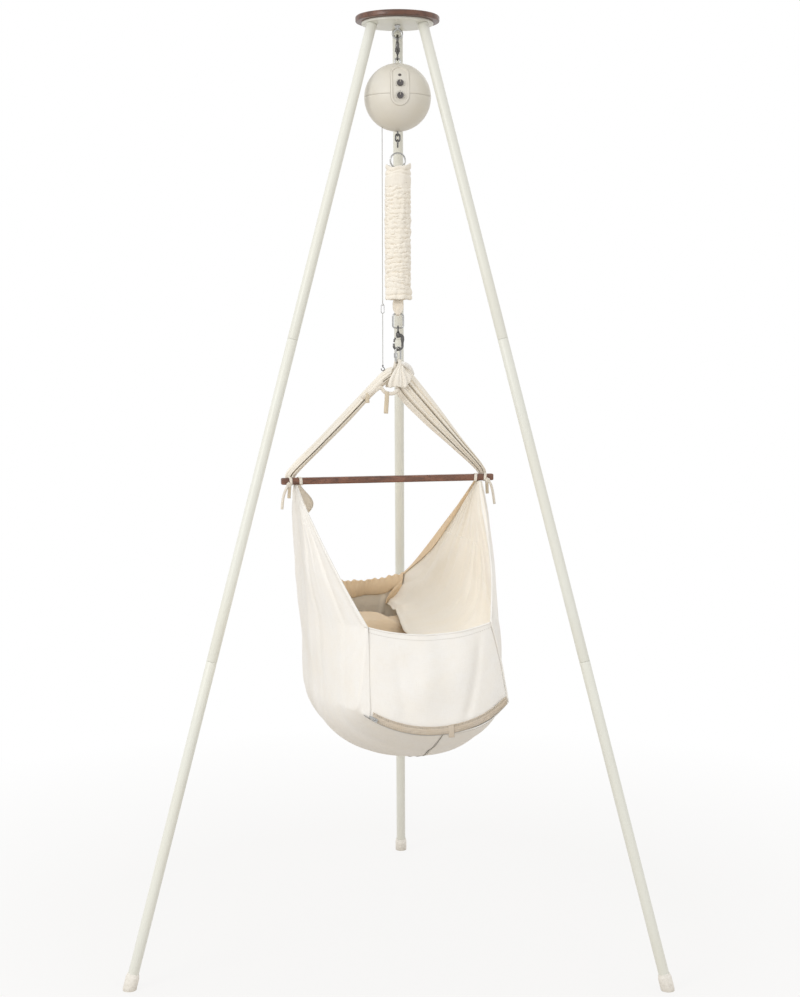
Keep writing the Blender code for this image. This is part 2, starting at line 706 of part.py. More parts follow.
def make_panel(motor, frames):
    """The dished control panel with its raised rim, the lamp and the two dials."""
    turn = panel_turn(PANEL_UP)
    outer = MOTOR_RADIUS + 0.0008
    inner = MOTOR_RADIUS - SHELL_WALL - 0.0035
    cap = ball("control_panel", outer, 40, 20)
    core = ball("panel_core", inner, 32, 16)
    low, high = MOTOR_RADIUS - PANEL_DEPTH, MOTOR_RADIUS + PANEL_DEPTH
    rim = pill("panel_rim", PANEL_WIDTH + 2 * PANEL_RIM, PANEL_LENGTH + 2 * PANEL_RIM, low, high, turn)
    face = ball("panel_face", MOTOR_RADIUS + 0.02, 40, 20)
    floor = ball("panel_floor", MOTOR_RADIUS - 0.0012, 40, 20)
    well = pill("panel_well", PANEL_WIDTH, PANEL_LENGTH, low, high, turn)
    hollow = subtract(face, floor)
    hollow = applied(hollow)
    trim = hollow.modifiers.new("well", "BOOLEAN")
    trim.operation = "INTERSECT"
    trim.object = well
    helper(well)
    hollow = applied(hollow)
    keep = cap.modifiers.new("pill", "BOOLEAN")
    keep.operation = "INTERSECT"
    keep.object = rim
    helper(rim)
    subtract(cap, core, hollow)
    holes = []
    for name, up in DIAL_UPS.items():
        holes.append(lathe(name + "_hole", [(0, 0.05), (0.0026, 0.05), (0.0026, 0.08), (0, 0.08)], 10, panel_turn(up)))
    holes.append(lathe("lamp_hole", [(0, 0.05), (LAMP_DIAMETER / 2 + GAP, 0.05), (LAMP_DIAMETER / 2 + GAP, 0.08),
                                     (0, 0.08)], 10, panel_turn(LAMP_UP)))
    subtract(cap, *holes)
    seat(applied(cap), motor, "cream_plastic")
    seat_z = MOTOR_RADIUS - 0.0012
    lamp = LAMP_DIAMETER / 2
    seat(lathe("status_lamp", [(0, seat_z - 0.006), (lamp, seat_z - 0.006), (lamp, seat_z), (lamp * 0.6, seat_z + 0.0008),
                               (0, seat_z + 0.001)], 10, panel_turn(LAMP_UP)), motor, "dark_plastic")
    for name, up in DIAL_UPS.items():
        seat(dial(name, seat_z + LOOSE, panel_turn(up)), frames[name], "dark_plastic", smooth=25)


def ball(name, radius, sides, rows):
    """A sphere about the motor's middle."""
    profile = [(radius * math.sin(math.pi * i / rows), radius * math.cos(math.pi * i / rows)) for i in range(rows + 1)]
    profile[0] = (0, radius)
    profile[-1] = (0, -radius)
    return lathe(name, profile, sides, Matrix.Translation((0, 0, MOTOR_Z)))


def dial(name, base, place):
    """A knurled knob with a pointer groove and a shaft into the ball."""
    teeth = 12
    radius = DIAL_DIAMETER / 2
    rings = []
    for scale, height in ((0.33, base - 0.0085), (0.33, base), (1.0, base), (1.0, base + DIAL_HEIGHT * 0.8),
                          (0.86, base + DIAL_HEIGHT)):
        ring = []
        for i in range(2 * teeth):
            angle = math.tau * i / (2 * teeth)
            r = radius * scale
            if scale == 1.0 and i % 2:
                r -= 0.0006
            if scale == 0.33:
                r = 0.0023
            ring.append(place @ Vector((r * math.cos(angle), r * math.sin(angle), height)))
        rings.append(ring)
    knob = loft(name, rings)
    low, high = base + DIAL_HEIGHT * 0.62, base + DIAL_HEIGHT + 0.002
    corners = [(-0.0006, 0.0), (0.0006, 0.0), (0.0006, radius * 1.1), (-0.0006, radius * 1.1)]
    groove = loft(name + "_groove", [[place @ Vector((x, y, h)) for x, y in corners] for h in (low, high)])
    return applied(subtract(knob, groove))


def u_bolt(name, top, bottom, width, thickness, sign):
    """A wire bent to a U in the xz plane, its round end up where sign is 1."""
    half = width / 2 - thickness / 2
    bend = top - sign * (thickness / 2 + half)
    points = [(half, 0, bottom)] + arc((0, 0, bend), half, 0, sign * 180, 8) + [(-half, 0, bottom)]
    return wire(name, points, thickness)


def make_motor_inside(motor, reel_frame):
    """The load frame with its two bails, the gear motor, the line reel and the board."""
    plate_half = 0.021
    reach = 0.050
    plate = box_between("load_frame", (-plate_half, -0.0015, MOTOR_Z - reach), (plate_half, 0.0015, MOTOR_Z + reach))
    window = box_between("frame_window", (-0.006, -0.004, MOTOR_Z - 0.036), (0.012, 0.004, MOTOR_Z + 0.036))
    bail = u_bolt("top_bail", BAIL_Z + BAIL_WIRE / 2, MOTOR_Z + reach - 0.008, BAIL_WIDTH, BAIL_WIRE, 1)
    eye = u_bolt("bottom_eye", MOTOR_EYE_Z - BAIL_WIRE / 2, MOTOR_Z - reach + 0.008, BAIL_WIDTH, BAIL_WIRE, -1)
    shaft_hole = lathe("shaft_hole", [(0, -0.006), (0.0032, -0.006), (0.0032, 0.006), (0, 0.006)], 12, reel_axis())
    union(plate, meshed(bail), meshed(eye))
    subtract(plate, window, shaft_hole)
    seat(applied(plate), motor, "chrome")
    radius = GEAR_MOTOR_DIAMETER / 2
    face = -0.0015 - GAP
    can = lathe("gear_motor", [(0, face), (radius * 0.82, face), (radius, face - 0.002), (radius, face - 0.017),
                               (radius * 0.8, face - 0.0185), (radius * 0.8, face - GEAR_MOTOR_LENGTH + 0.0015),
                               (radius * 0.74, face - GEAR_MOTOR_LENGTH), (0, face - GEAR_MOTOR_LENGTH)],
                20, gear_motor_place())
    seat(can, motor, "chrome")
    drum, flange = REEL_RADIUS - LINE_DIAMETER / 2 - GAP, REEL_RADIUS + 0.003
    z0 = 0.0015 + LOOSE
    reel = lathe("line_reel", [(0, -0.0005), (0.0027, -0.0005), (0.0027, z0), (flange, z0), (flange, z0 + 0.001),
                               (drum, z0 + 0.0015), (drum, z0 + REEL_WIDTH - 0.0015), (flange, z0 + REEL_WIDTH - 0.001),
                               (flange, z0 + REEL_WIDTH), (0, z0 + REEL_WIDTH)], 20, reel_axis())
    seat(reel, reel_frame, "dark_plastic")
    board = box_between("circuit_board", (0.0145, -0.0480, MOTOR_Z - 0.016), (0.0155, -0.0015 - GAP, MOTOR_Z + 0.018))
    seat(board, motor, "board")
    outer = MOTOR_RADIUS + 0.0005
    profile = [(0, 0.056), (0.0049, 0.056), (0.0049, outer - 0.0002), (0.0066, outer - 0.0002), (0.0062, outer + 0.0012),
               (0.0030, outer + 0.0012), (0.0030, 0.060), (0.0009, 0.060), (0.0009, outer - 0.001), (0, outer - 0.001)]
    seat(lathe("power_inlet", profile, 14, inlet_turn()), motor, "dark_plastic")


def gear_motor_place():
    """The gear motor lies along y, behind the load frame."""
    return Matrix.Translation((0.0, 0.0, MOTOR_Z)) @ Matrix.Rotation(math.radians(90), 4, "X")


def reel_axis():
    """The reel turns on an axis along -y, in front of the load frame."""
    return Matrix.Translation((LINE_X + REEL_RADIUS, 0, MOTOR_Z)) @ Matrix.Rotation(math.radians(90), 4, "X")


def make_links(motor):
    """Three chain links, each at right angles to the last, and the round ring under them."""
    bar = MOTOR_EYE_Z
    for i in range(LINKS):
        plane = "yz" if i % 2 == 0 else "xz"
        top = bar + LINK_STEP
        middle = top - LINK_REACH / 2
        loop = stadium((0, 0, middle), LINK_REACH, LINK_WIDTH - LINK_WIRE, 5, plane)
        seat(wire("motor_link_%d" % (i + 1), loop, LINK_WIRE, True), motor, "gunmetal")
        bar = top - LINK_REACH
    radius = (RING_DIAMETER - LINK_WIRE) / 2
    centre = bar + LINK_STEP - radius
    ring = wire("spring_ring", arc((0, 0, centre), radius, 0, 345, 23), LINK_WIRE, True)
    seat(ring, motor, "chrome")
    return centre - radius


# Spring, sleeve and webbing
def webbing_loop(name, high_bar, low_bar):
    """A closed band of webbing in the yz plane, gathered where it passes round a bar.

    A bar is its height, the radius that it is bent to and its wire's thickness."""
    sides = []
    for skin in (WEBBING_THICKNESS, 0.0):
        reach = []
        for z, bend, thickness in (high_bar, low_bar):
            lift = bend - math.sqrt(bend ** 2 - (WEBBING_GATHERED / 2) ** 2)
            reach.append(thickness / 2 + lift + LOOSE + skin)
        middle = (high_bar[0] + low_bar[0]) / 2
        wide = (reach[0] + reach[1]) / 2
        loop = arc((0, 0, high_bar[0]), reach[0], 0, 180, 6, "yz") + [(0, -wide, middle)]
        loop += arc((0, 0, low_bar[0]), reach[1], 180, 360, 6, "yz") + [(0, wide, middle)]
        sides.append(loop)
    rings = []
    for outer, inner in zip(*sides):
        width = WEBBING_WIDTH if outer[2] == middle else WEBBING_GATHERED
        rings.append([(side * width / 2, point[1], point[2])
                      for point, side in ((outer, -1), (outer, 1), (inner, 1), (inner, -1))])
    return loft(name, rings, closed=True)


def make_spring(motor, end, ring_bar):
    """The coil with its end eyes, the webbing at both ends, the sleeve and the long ring."""
    eye_radius = (SPRING_EYE - SPRING_WIRE) / 2
    top_bar = ring_bar - UPPER_LOOP_LENGTH
    ring_radius = (RING_DIAMETER - LINK_WIRE) / 2
    high = webbing_loop("upper_loop", (ring_bar, ring_radius, LINK_WIRE), (top_bar, eye_radius, SPRING_WIRE))
    seat(high, motor, "cotton", smooth=0)
    d_bar = LONG_RING_TOP - LINK_WIRE / 2
    bottom_bar = d_bar + LOWER_LOOP_LENGTH
    low = webbing_loop("lower_loop", (bottom_bar, eye_radius, SPRING_WIRE), (d_bar, STRAIGHT_BAR, LINK_WIRE))
    seat(low, end, "cotton", smooth=0)
    radius = (SPRING_DIAMETER - SPRING_WIRE) / 2
    curls = coil_points(radius, top_bar - 2 * eye_radius - 0.004, bottom_bar + 2 * eye_radius + 0.004)
    print("spring: least gap between curls %.4f m" % curl_gap(curls))
    seat(wire("spring", spring_path(top_bar, bottom_bar, eye_radius, curls), SPRING_WIRE), end, "spring_steel")
    make_sleeve(end, ring_bar)
    length, width = RING_HEIGHT - LINK_WIRE, RING_WIDTH - LINK_WIRE
    frame = round_frame((0, 0, d_bar - length / 2), width, length, LONG_RING_CORNER)
    seat(wire("d_ring", frame, LINK_WIRE, True), end, "chrome")
    return d_bar - length


def round_frame(centre, width, height, corner):
    """A closed rounded rectangle in the xz plane."""
    points = []
    for sx, sz, start in ((1, 1, 0), (-1, 1, 90), (-1, -1, 180), (1, -1, 270)):
        middle = (centre[0] + sx * (width / 2 - corner), 0, centre[2] + sz * (height / 2 - corner))
        points += arc(middle, corner, start, start + 90, 4)
    return points


def coil_points(radius, top, bottom):
    """The curls of the spring, from the top down."""
    steps = CURL_POINTS * SPRING_CURLS
    return [(radius * math.cos(math.tau * i / CURL_POINTS), radius * math.sin(math.tau * i / CURL_POINTS),
             top + (bottom - top) * i / steps) for i in range(steps + 1)]


def curl_gap(points):
    """The least distance between the wire's surfaces on neighbouring curls."""
    least = min((Vector(a) - Vector(b)).length for a, b in zip(points, points[CURL_POINTS:]))
    return least - SPRING_WIRE


def spring_path(top_bar, bottom_bar, radius, curls):
    """One unbroken wire: an eye, a lead out to the first curl, the curls and the other eye."""
    high = arc((0, 0, top_bar - radius), radius, -60, 250, 12)
    low = arc((0, 0, bottom_bar + radius), radius, 110, 420, 12)
    return high + curls + low


def make_sleeve(end, ring_bar):
    """The gathered cloth sleeve: a ruched tube with a collar at the top and a hem at the foot."""
    outer = SLEEVE_DIAMETER / 2
    bore = outer - SLEEVE_CLOTH - RUCHE_DEPTH
    top = ring_bar - SLEEVE_DROP
    bottom = top - SLEEVE_LENGTH
    profile = [(SLEEVE_NECK, top), (outer - 0.006, top + 0.002), (outer - 0.0005, top - 0.003), (outer - 0.0015, top - 0.010),
               (outer - 0.0008, top - 0.024)]
    low, high = bottom + 0.014, top - 0.030
    step = (low - high) / RUCHES
    for i in range(RUCHES):
        z = high + step * i
        depth = RUCHE_DEPTH * (0.65 + 0.35 * math.sin(i * 2.4))
        profile.append((outer, z + step * 0.35))
        profile.append((outer - depth, z + step * 0.85))
    profile += [(outer + 0.0012, low - 0.003), (outer + 0.0012, bottom + 0.003), (outer - 0.003, bottom),
                (SLEEVE_NECK, bottom), (SLEEVE_NECK, bottom + SLEEVE_CLOTH), (bore, bottom + SLEEVE_CLOTH + 0.002),
                (bore, top - SLEEVE_CLOTH - 0.002), (SLEEVE_NECK, top - SLEEVE_CLOTH)]
    seat(lathe("sleeve", profile, 12), end, "cotton")


def make_pull_line(end, cradle, clip_top, line_top, shoulder_z):
    """The pull line from the reel to its clip, and the clip's tail to the hammock's shoulder."""
    line = wire("pull_line", [(LINE_X, LINE_Y, line_top), (LINE_X, LINE_Y, (line_top + clip_top) / 2),
                              (LINE_X, LINE_Y, clip_top + GAP)], LINE_DIAMETER)
    seat(line, end, "line")
    centre = clip_top - CLIP_LENGTH / 2
    clip = wire("line_tail", stadium((LINE_X, LINE_Y, centre), CLIP_LENGTH - CLIP_WIRE, CLIP_WIDTH - CLIP_WIRE, 4),
                CLIP_WIRE, True)
    hook = arc((LINE_X, LINE_Y, shoulder_z + 0.0045), 0.0035, 90, -200, 8)
    tail = wire("tail", [(LINE_X, LINE_Y, clip_top - CLIP_LENGTH + CLIP_WIRE / 2)] + hook, LINE_DIAMETER)
    seat(applied(union(meshed(clip), meshed(tail))), cradle, "line")


# Lower hook and quick link
def make_lower_hook(end, hook, gate, nut, ring_bar):
    boss_height, boss_radius = 0.0085, 0.0050
    stem = SWIVEL_WIRE / 2 + 0.0008
    ring_top = ring_bar + (LINK_WIRE + SWIVEL_WIRE) / 2 + GAP
    ring_z = ring_top - SWIVEL_RING / 2
    boss_top = ring_z - SWIVEL_RING / 2 - SWIVEL_NECK
    body, half, bow = hook_body("lower_hook", HOOK_WIDTH, HOOK_HEIGHT, HOOK_ROD, boss_top, boss_height,
                                boss_radius, stem + GAP, 1)
    seat(body, hook, "gunmetal")
    low = boss_top - boss_height
    shank = lathe("hook_swivel", [(0, low - 0.0022), (stem + 0.0010, low - 0.0022), (stem + 0.0010, low - GAP),
                                  (stem, low - GAP), (stem, boss_top + GAP), (stem + 0.0012, boss_top + 0.0015),
                                  (0, ring_z - SWIVEL_RING / 2 + 0.001)], 12)
    ring = wire("hook_ring", arc((0, 0, ring_z), SWIVEL_RING / 2, 0, 330, 11, "yz"), SWIVEL_WIRE, True)
    union(shank, meshed(ring))
    seat(applied(shank), end, "gunmetal")
    gate_top = (-half * 0.62, 0.0, low - 0.0014)
    gate_foot = (-half * 0.98, 0.0, bow + half * 0.45 + HOOK_ROD / 2 + GAP)
    seat(wire("lower_gate", [gate_top, gate_foot], HOOK_ROD * 0.7, roundness=2), gate, "gunmetal")
    bow_bar = bow - half
    return make_quick_link(hook, nut, bow_bar)


def quick_link_centre(bow_bar):
    top_bar = bow_bar + (HOOK_ROD + QUICK_LINK_WIRE) / 2 + LOOSE + GAP
    return top_bar - (QUICK_LINK_LENGTH - QUICK_LINK_WIRE) / 2


def make_quick_link(hook, nut, bow_bar):
    """An oval link with a threaded gap in one side, closed by a hexagonal sleeve nut."""
    centre = quick_link_centre(bow_bar)
    length, width = QUICK_LINK_LENGTH - QUICK_LINK_WIRE, QUICK_LINK_WIDTH - QUICK_LINK_WIRE
    side = -width / 2
    straight = (length - width) / 2
    high = arc((0, 0, centre + straight), width / 2, 180, 0, 8)
    low = arc((0, 0, centre - straight), width / 2, 0, -180, 8)
    points = [(side, 0, centre + 0.001)] + high + low + [(side, 0, centre - 0.004)]
    turn = Matrix.Rotation(math.radians(LINK_TURN), 4, "Z")
    link = wire("quick_link", points, QUICK_LINK_WIRE, roundness=2)
    link.data.transform(turn)
    seat(link, hook, "chrome")
    bore, across = QUICK_LINK_WIRE / 2 + GAP, 0.0040
    rings = []
    for r, z in ((across, -0.0055), (across, 0.0045), (bore, 0.0045), (bore, -0.0055)):
        rings.append([(side + r * math.cos(math.radians(30 * i)) * hexed(i, r, bore),
                       r * math.sin(math.radians(30 * i)) * hexed(i, r, bore), centre + z) for i in range(12)])
    bm = bmesh.new()
    loft_into(bm, rings, closed=True)
    sleeve = mesh_object("link_nut", bm)
    sleeve.data.transform(turn)
    seat(sleeve, nut, "chrome", smooth=20)
    return centre - length / 2


# Hammock
def mix(a, b, share):
    return a + (b - a) * share


def zip_radius():
    """The radius of the arc that the zip lies on, so that its slider can turn about one axis."""
    depth = math.hypot(ZIP_BOW, ZIP_DROP)
    return (ZIP_END[0] ** 2 + depth ** 2) / (2 * depth)


def zip_axis():
    """The middle of the zip's arc in the hammock's coordinates, and the axis through it."""
    depth = math.hypot(ZIP_BOW, ZIP_DROP)
    back = zip_radius() - depth
    middle = Vector((0, -ZIP_END[1] + ZIP_BOW / depth * back, ZIP_END[2] + ZIP_DROP / depth * back))
    return middle, Vector((0, ZIP_DROP, -ZIP_BOW)) / depth


def zip_point(across):
    """A point of the zip line at a share of its half width: x, reach and height."""
    width, reach, height = ZIP_END
    depth = math.hypot(ZIP_BOW, ZIP_DROP)
    radius = zip_radius()
    share = (math.sqrt(radius ** 2 - (width * across) ** 2) - radius + depth) / depth
    return width * across, reach + ZIP_BOW * share, height - ZIP_DROP * share


def wall_middle(v):
    """The cloth's section under the bar's end, from the tie at 0 to the keel at 1: x and height."""
    x_foot, z_foot = WALL_FOOT
    if v < V_ZIP:
        share = v / V_ZIP
        return mix(TIE_SPREAD / 2, x_foot, share), mix(TIE_TOP, z_foot, share)
    angle = (v - V_ZIP) / (1 - V_ZIP) * math.pi / 2
    return x_foot * math.cos(angle), z_foot - (z_foot - KEEL_Z) * math.sin(angle)


def wall_edge(v):
    """The cloth's end edge: from the tie to the panel's corner, down its seam and along the zip."""
    tie = (TIE_SPREAD / 2, BUNCH_WIDTH / 2, TIE_TOP)
    if v < V_CORNER:
        share = v / V_CORNER
        bow = 4 * share * (1 - share)
        x, y, z = (mix(a, b, share) for a, b in zip(tie, CORNER))
        return x + 0.008 * bow, y + 0.020 * bow, z - 0.003 * bow
    if v < V_ZIP:
        share = (v - V_CORNER) / (V_ZIP - V_CORNER)
        return tuple(mix(a, b, share) for a, b in zip(CORNER, ZIP_END))
    return zip_point(math.cos((v - V_ZIP) / (1 - V_ZIP) * math.pi / 2))


def wall_point(u, v):
    """A point of the smooth cloth. u runs from one end of the cradle at -1 to the other at 1."""
    x_middle, z_middle = wall_middle(v)
    x_edge, reach, z_edge = wall_edge(v)
    share = abs(u)
    return Vector((mix(x_middle, x_edge, share ** 2.0), -reach * u, mix(z_middle, z_edge, share ** 2.2)))


def wall_normal(u, v):
    """The direction out of the cloth."""
    step = 0.01
    along = wall_point(min(u + step, 1), v) - wall_point(max(u - step, -1), v)
    down = wall_point(u, min(v + step, 1)) - wall_point(u, max(v - step, 0))
    normal = down.cross(along)
    if normal.length < 1e-9:
        return Vector((1, 0, 0))
    return -normal.normalized() if normal.dot(Vector((1, 0, -0.4))) < 0 else normal.normalized()


def fold_height(u, v):
    """How far the gathers stand out, deepest a little below the tie and gone at the cradle."""
    fade = max(0.0, 1 - v / 0.58)
    rise = min(1.0, 0.45 + v / 0.15)
    edge = 1 - u ** 4 * min(1.0, v / 0.3)
    return 0.0050 * fade * rise * edge * math.cos(5 * math.pi * u)


def cloth_rows():
    """The cloth's rows, with one at the panel's corner and one at the zip's end."""
    rows = [0.0]
    for count, start, stop in zip(CLOTH_ROWS, (0, V_CORNER, V_ZIP), (V_CORNER, V_ZIP, 1)):
        rows += [mix(start, stop, (i + 1) / count) for i in range(count)]
    return rows


def wall_grid(inset):
    """The cloth's points at a depth inside its outer face."""
    grid = []
    for v in cloth_rows():
        row = []
        for j in range(CLOTH_COLUMNS + 1):
            u = 2 * j / CLOTH_COLUMNS - 1
            point = wall_point(u, v) + wall_normal(u, v) * (fold_height(u, v) - inset)
            point.x = max(point.x, SEAM / 2)
            row.append(point)
        grid.append(row)
    return grid


def mirrored(grid):
    return [[Vector((-p.x, p.y, p.z)) for p in row] for row in grid]


def make_slings(cradle):
    outer, inner = wall_grid(0), wall_grid(CLOTH)
    seat(shell_patch("sling_right", outer, inner), cradle, "cotton", True, 60)
    seat(shell_patch("sling_left", mirrored(outer), mirrored(inner)), cradle, "cotton", True, 60)


def panel_point(x, t):
    """A point of an end panel: x from -1 to 1 across it, t from its top edge to the zip."""
    width = mix(CORNER[0], ZIP_END[0], t) - CLOTH - SEAM
    foot = zip_point(x)
    reach = mix(CORNER[1] + PANEL_BOW * (1 - x ** 2), foot[1], t)
    height = mix(CORNER[2] - PANEL_SAG * (1 - x ** 2), foot[2] + PANEL_LIFT, t)
    return Vector((width * x, -reach, height))


def make_end_panels(cradle):
    columns, rows = 12, 5
    for name, sign in (("end_panel_front", 1), ("end_panel_rear", -1)):
        grids = []
        for inset in (0, CLOTH):
            grid = []
            for i in range(rows + 1):
                t = i / rows
                row = []
                for j in range(columns + 1):
                    x = 2 * j / columns - 1
                    point = panel_point(x, t)
                    ruffle = 0.0022 * math.cos(7 * math.pi * x) * max(0.0, 1 - t * 5)
                    row.append(Vector((point.x, sign * (point.y + inset - ruffle), point.z)))
                grid.append(row)
            grids.append(grid)
        seat(shell_patch(name, *grids), cradle, "cotton", True, 60)


def make_zip(cradle, slider_frame):
    """The zip's band along the foot of the front panel, and its slider."""
    columns = 16
    heights = (-0.004, 0.001, 0.006, ZIP_WIDTH - 0.004)
    grids = []
    for offset in (LOOSE + ZIP_TAPE, LOOSE):
        grid = []
        for height in heights:
            row = []
            for j in range(columns + 1):
                across = (2 * j / columns - 1) * 0.86
                foot = panel_point(across, 1)
                rise = panel_point(across, 0).z - foot.z
                point = panel_point(across, 1 - max(0.0, height) / rise)
                row.append(Vector((point.x, point.y - offset - ZIP_EASE * across ** 6, foot.z + height)))
            grid.append(row)
        grids.append(grid)
    seat(shell_patch("zip_tape", *grids), cradle, "zip", True, 60)
    x, reach, z = zip_point(ZIP_SLIDER)
    middle, axis = zip_axis()
    outward = (Vector((x, -reach, z)) - middle).normalized()
    along = outward.cross(axis)
    turn = Matrix((along, -axis, outward)).transposed().to_4x4()
    place = Matrix.Translation(middle + outward * zip_radius()) @ turn
    body = box_between("zip_slider", (-0.005, 0.0057, -0.0030), (0.005, 0.0090, 0.0040))
    body.data.transform(place)
    seat(body, slider_frame, "chrome", True, 0)


def make_mattress(cradle):
    """The pad that fills the foot of the cradle and bends up at its ends."""
    depth = CLOTH + 3 * SEAM
    rows = cloth_rows()[MATTRESS_FIRST_ROW:]
    rings = []
    for j in range(1, CLOTH_COLUMNS):
        u = 2 * j / CLOTH_COLUMNS - 1
        lower = []
        for v in rows:
            point = wall_point(u, v) - wall_normal(u, v) * depth
            point.x = max(point.x, 0)
            lower.append(point)
        keel, rim = lower[-1], lower[0]
        ring = lower + [Vector((-p.x, p.y, p.z)) for p in reversed(lower[:-1])]
        low = keel.z + MATTRESS_THICKNESS
        high = rim.z + MATTRESS_CROWN + MATTRESS_END_RISE * u ** 2
        for k in range(-4, 5):
            share = k / 4 * 0.94
            ring.append(Vector((rim.x * share, rim.y, mix(low, high, share ** 2))))
        rings.append(ring)
    seat(loft("mattress", rings), cradle, "lining", True, 50)


def strap_section(centre, along, width, fold, cloth):
    """A folded band's outline, across its path in the xz plane, with its folds towards y."""
    across = Vector((along.z, 0, -along.x)).normalized()
    count = 10
    faces = []
    for side in (1, -1):
        face = []
        for k in range(count + 1):
            share = k / count
            lift = fold * math.cos(STRAP_FOLDS * math.tau * share)
            face.append(centre + across * ((share - 0.5) * width) + Vector((0, lift + side * cloth / 2, 0)))
        faces.append(face)
    return faces[0] + faces[1][::-1]


def make_straps(cradle, apex_z):
    """The gathered cloth that rises behind the bar's ends to the apex."""
    neck_y = BAR_SIZE / 2 + 2 * GAP + NECK_DEPTH / 2
    fold_neck = (NECK_DEPTH - STRAP_CLOTH) / 2
    head_z = apex_z - STRAP_HEAD_DROP
    for name, sign in (("strap_right", 1), ("strap_left", -1)):
        foot = Vector((sign * TIE_SPREAD / 2, neck_y, TIE_TOP + 0.001))
        bend = foot + Vector((0, 0, 0.045))
        top = Vector((sign * (STRAP_HEAD / 2 + GAP) - HAMMOCK_ASIDE, 0, head_z))
        marks = [foot, foot + Vector((0, 0, 0.022)), bend]
        marks += [mix(bend, top, share) for share in (0.3, 0.62, 0.9)]
        marks.append(top)
        path = [Vector(p) for p in rounded(marks, 2)]
        last = len(path) - 1
        rings = []
        for i, point in enumerate(path):
            share = i / last
            ahead = path[min(i + 1, last)] - path[max(i - 1, 0)]
            if i < 2:
                ahead = Vector((0, 0, 1))
            if i == last:
                ahead = Vector((0, 0, 1))
            swell = min(1.0, max(0.0, (share - 0.15) / 0.3)) if share < 0.6 else min(1.0, (1 - share) / 0.35)
            low_width = NECK_WIDTH if share < 0.5 else STRAP_HEAD
            width = mix(low_width, STRAP_WIDTH, swell)
            fold = mix(fold_neck, STRAP_FOLD, swell)
            rings.append(strap_section(point, ahead.normalized(), width, fold, STRAP_CLOTH))
        seat(loft(name, rings), cradle, "cotton", True, 60)


def make_apex(cradle, bar_z):
    """The cloth bight that hangs over the quick link's lower bar, front to back."""
    thickness = 0.0075
    radius = (QUICK_LINK_WIRE + thickness) / 2 + LOOSE
    foot = bar_z - STRAP_HEAD_DROP + GAP
    points = [(0, radius, foot)] + arc((0, 0, bar_z), radius, 0, 180, 8, "yz") + [(0, -radius, foot)]
    bight = wire("apex_loop", points, thickness, roundness=2)
    turn = Matrix.Rotation(math.radians(LINK_TURN), 4, "Z")
    bight.data.transform(turn)
    seat(bight, cradle, "cotton")


def make_bar(cradle):
    """The spreader bar: a square stick with rounded edges and ends."""
    half, size, soft = BAR_LENGTH / 2, BAR_SIZE / 2, 0.0022
    outline = rounded_square(0, BAR_Z, size, size, soft)
    rings = []
    for x, scale in ((-half, 0.55), (-half + 0.002, 0.86), (-half + 0.005, 1.0), (half - 0.005, 1.0),
                     (half - 0.002, 0.86), (half, 0.55)):
        rings.append([(x, y * scale, BAR_Z + (z - BAR_Z) * scale) for y, z in outline])
    seat(loft("spreader_bar", rings), cradle, "walnut", True)


def rounded_square(y, z, half_y, half_z, soft):
    """The corners of a rounded rectangle in the yz plane."""
    outline = []
    for sy, sz, start in ((1, 1, 0), (-1, 1, 90), (-1, -1, 180), (1, -1, 270)):
        middle = (0, y + sy * (half_y - soft), z + sz * (half_z - soft))
        outline += [(p[1], p[2]) for p in arc(middle, soft, start, start + 90, 2, "yz")]
    return outline


def bar_ring(name, x):
    """A ribbon wound once round the bar."""
    half = BAR_SIZE / 2 + GAP
    inner = rounded_square(0, BAR_Z, half, half, 0.0022)
    outer = rounded_square(0, BAR_Z, half + RIBBON, half + RIBBON, 0.0034)
    rings = []
    for (y0, z0), (y1, z1) in zip(inner, outer):
        left, right = x - RIBBON_WIDTH / 2, x + RIBBON_WIDTH / 2
        rings.append([(left, y0, z0), (right, y0, z0), (right, y1, z1), (left, y1, z1)])
    return loft(name, rings, closed=True)


def neck_band(name, x, reach):
    """The ribbon's run behind the cloth's neck, from one winding on the bar to the other."""
    front = BAR_SIZE / 2 + GAP + RIBBON / 2
    back = BAR_SIZE / 2 + 3 * GAP + NECK_DEPTH
    half = RIBBON_WIDTH * 0.35
    path = [(x - reach, front), (x - reach, back), (x + reach, back), (x + reach, front)]
    inner = [(x - reach + RIBBON, front), (x - reach + RIBBON, back), (x + reach - RIBBON, back),
             (x + reach - RIBBON, front)]
    path[1], path[2] = (x - reach, back + RIBBON), (x + reach, back + RIBBON)
    rings = []
    for (x0, y0), (x1, y1) in zip(path, inner):
        rings.append([(x0, y0, BAR_Z - half), (x0, y0, BAR_Z + half), (x1, y1, BAR_Z + half), (x1, y1, BAR_Z - half)])
    return loft(name, rings)


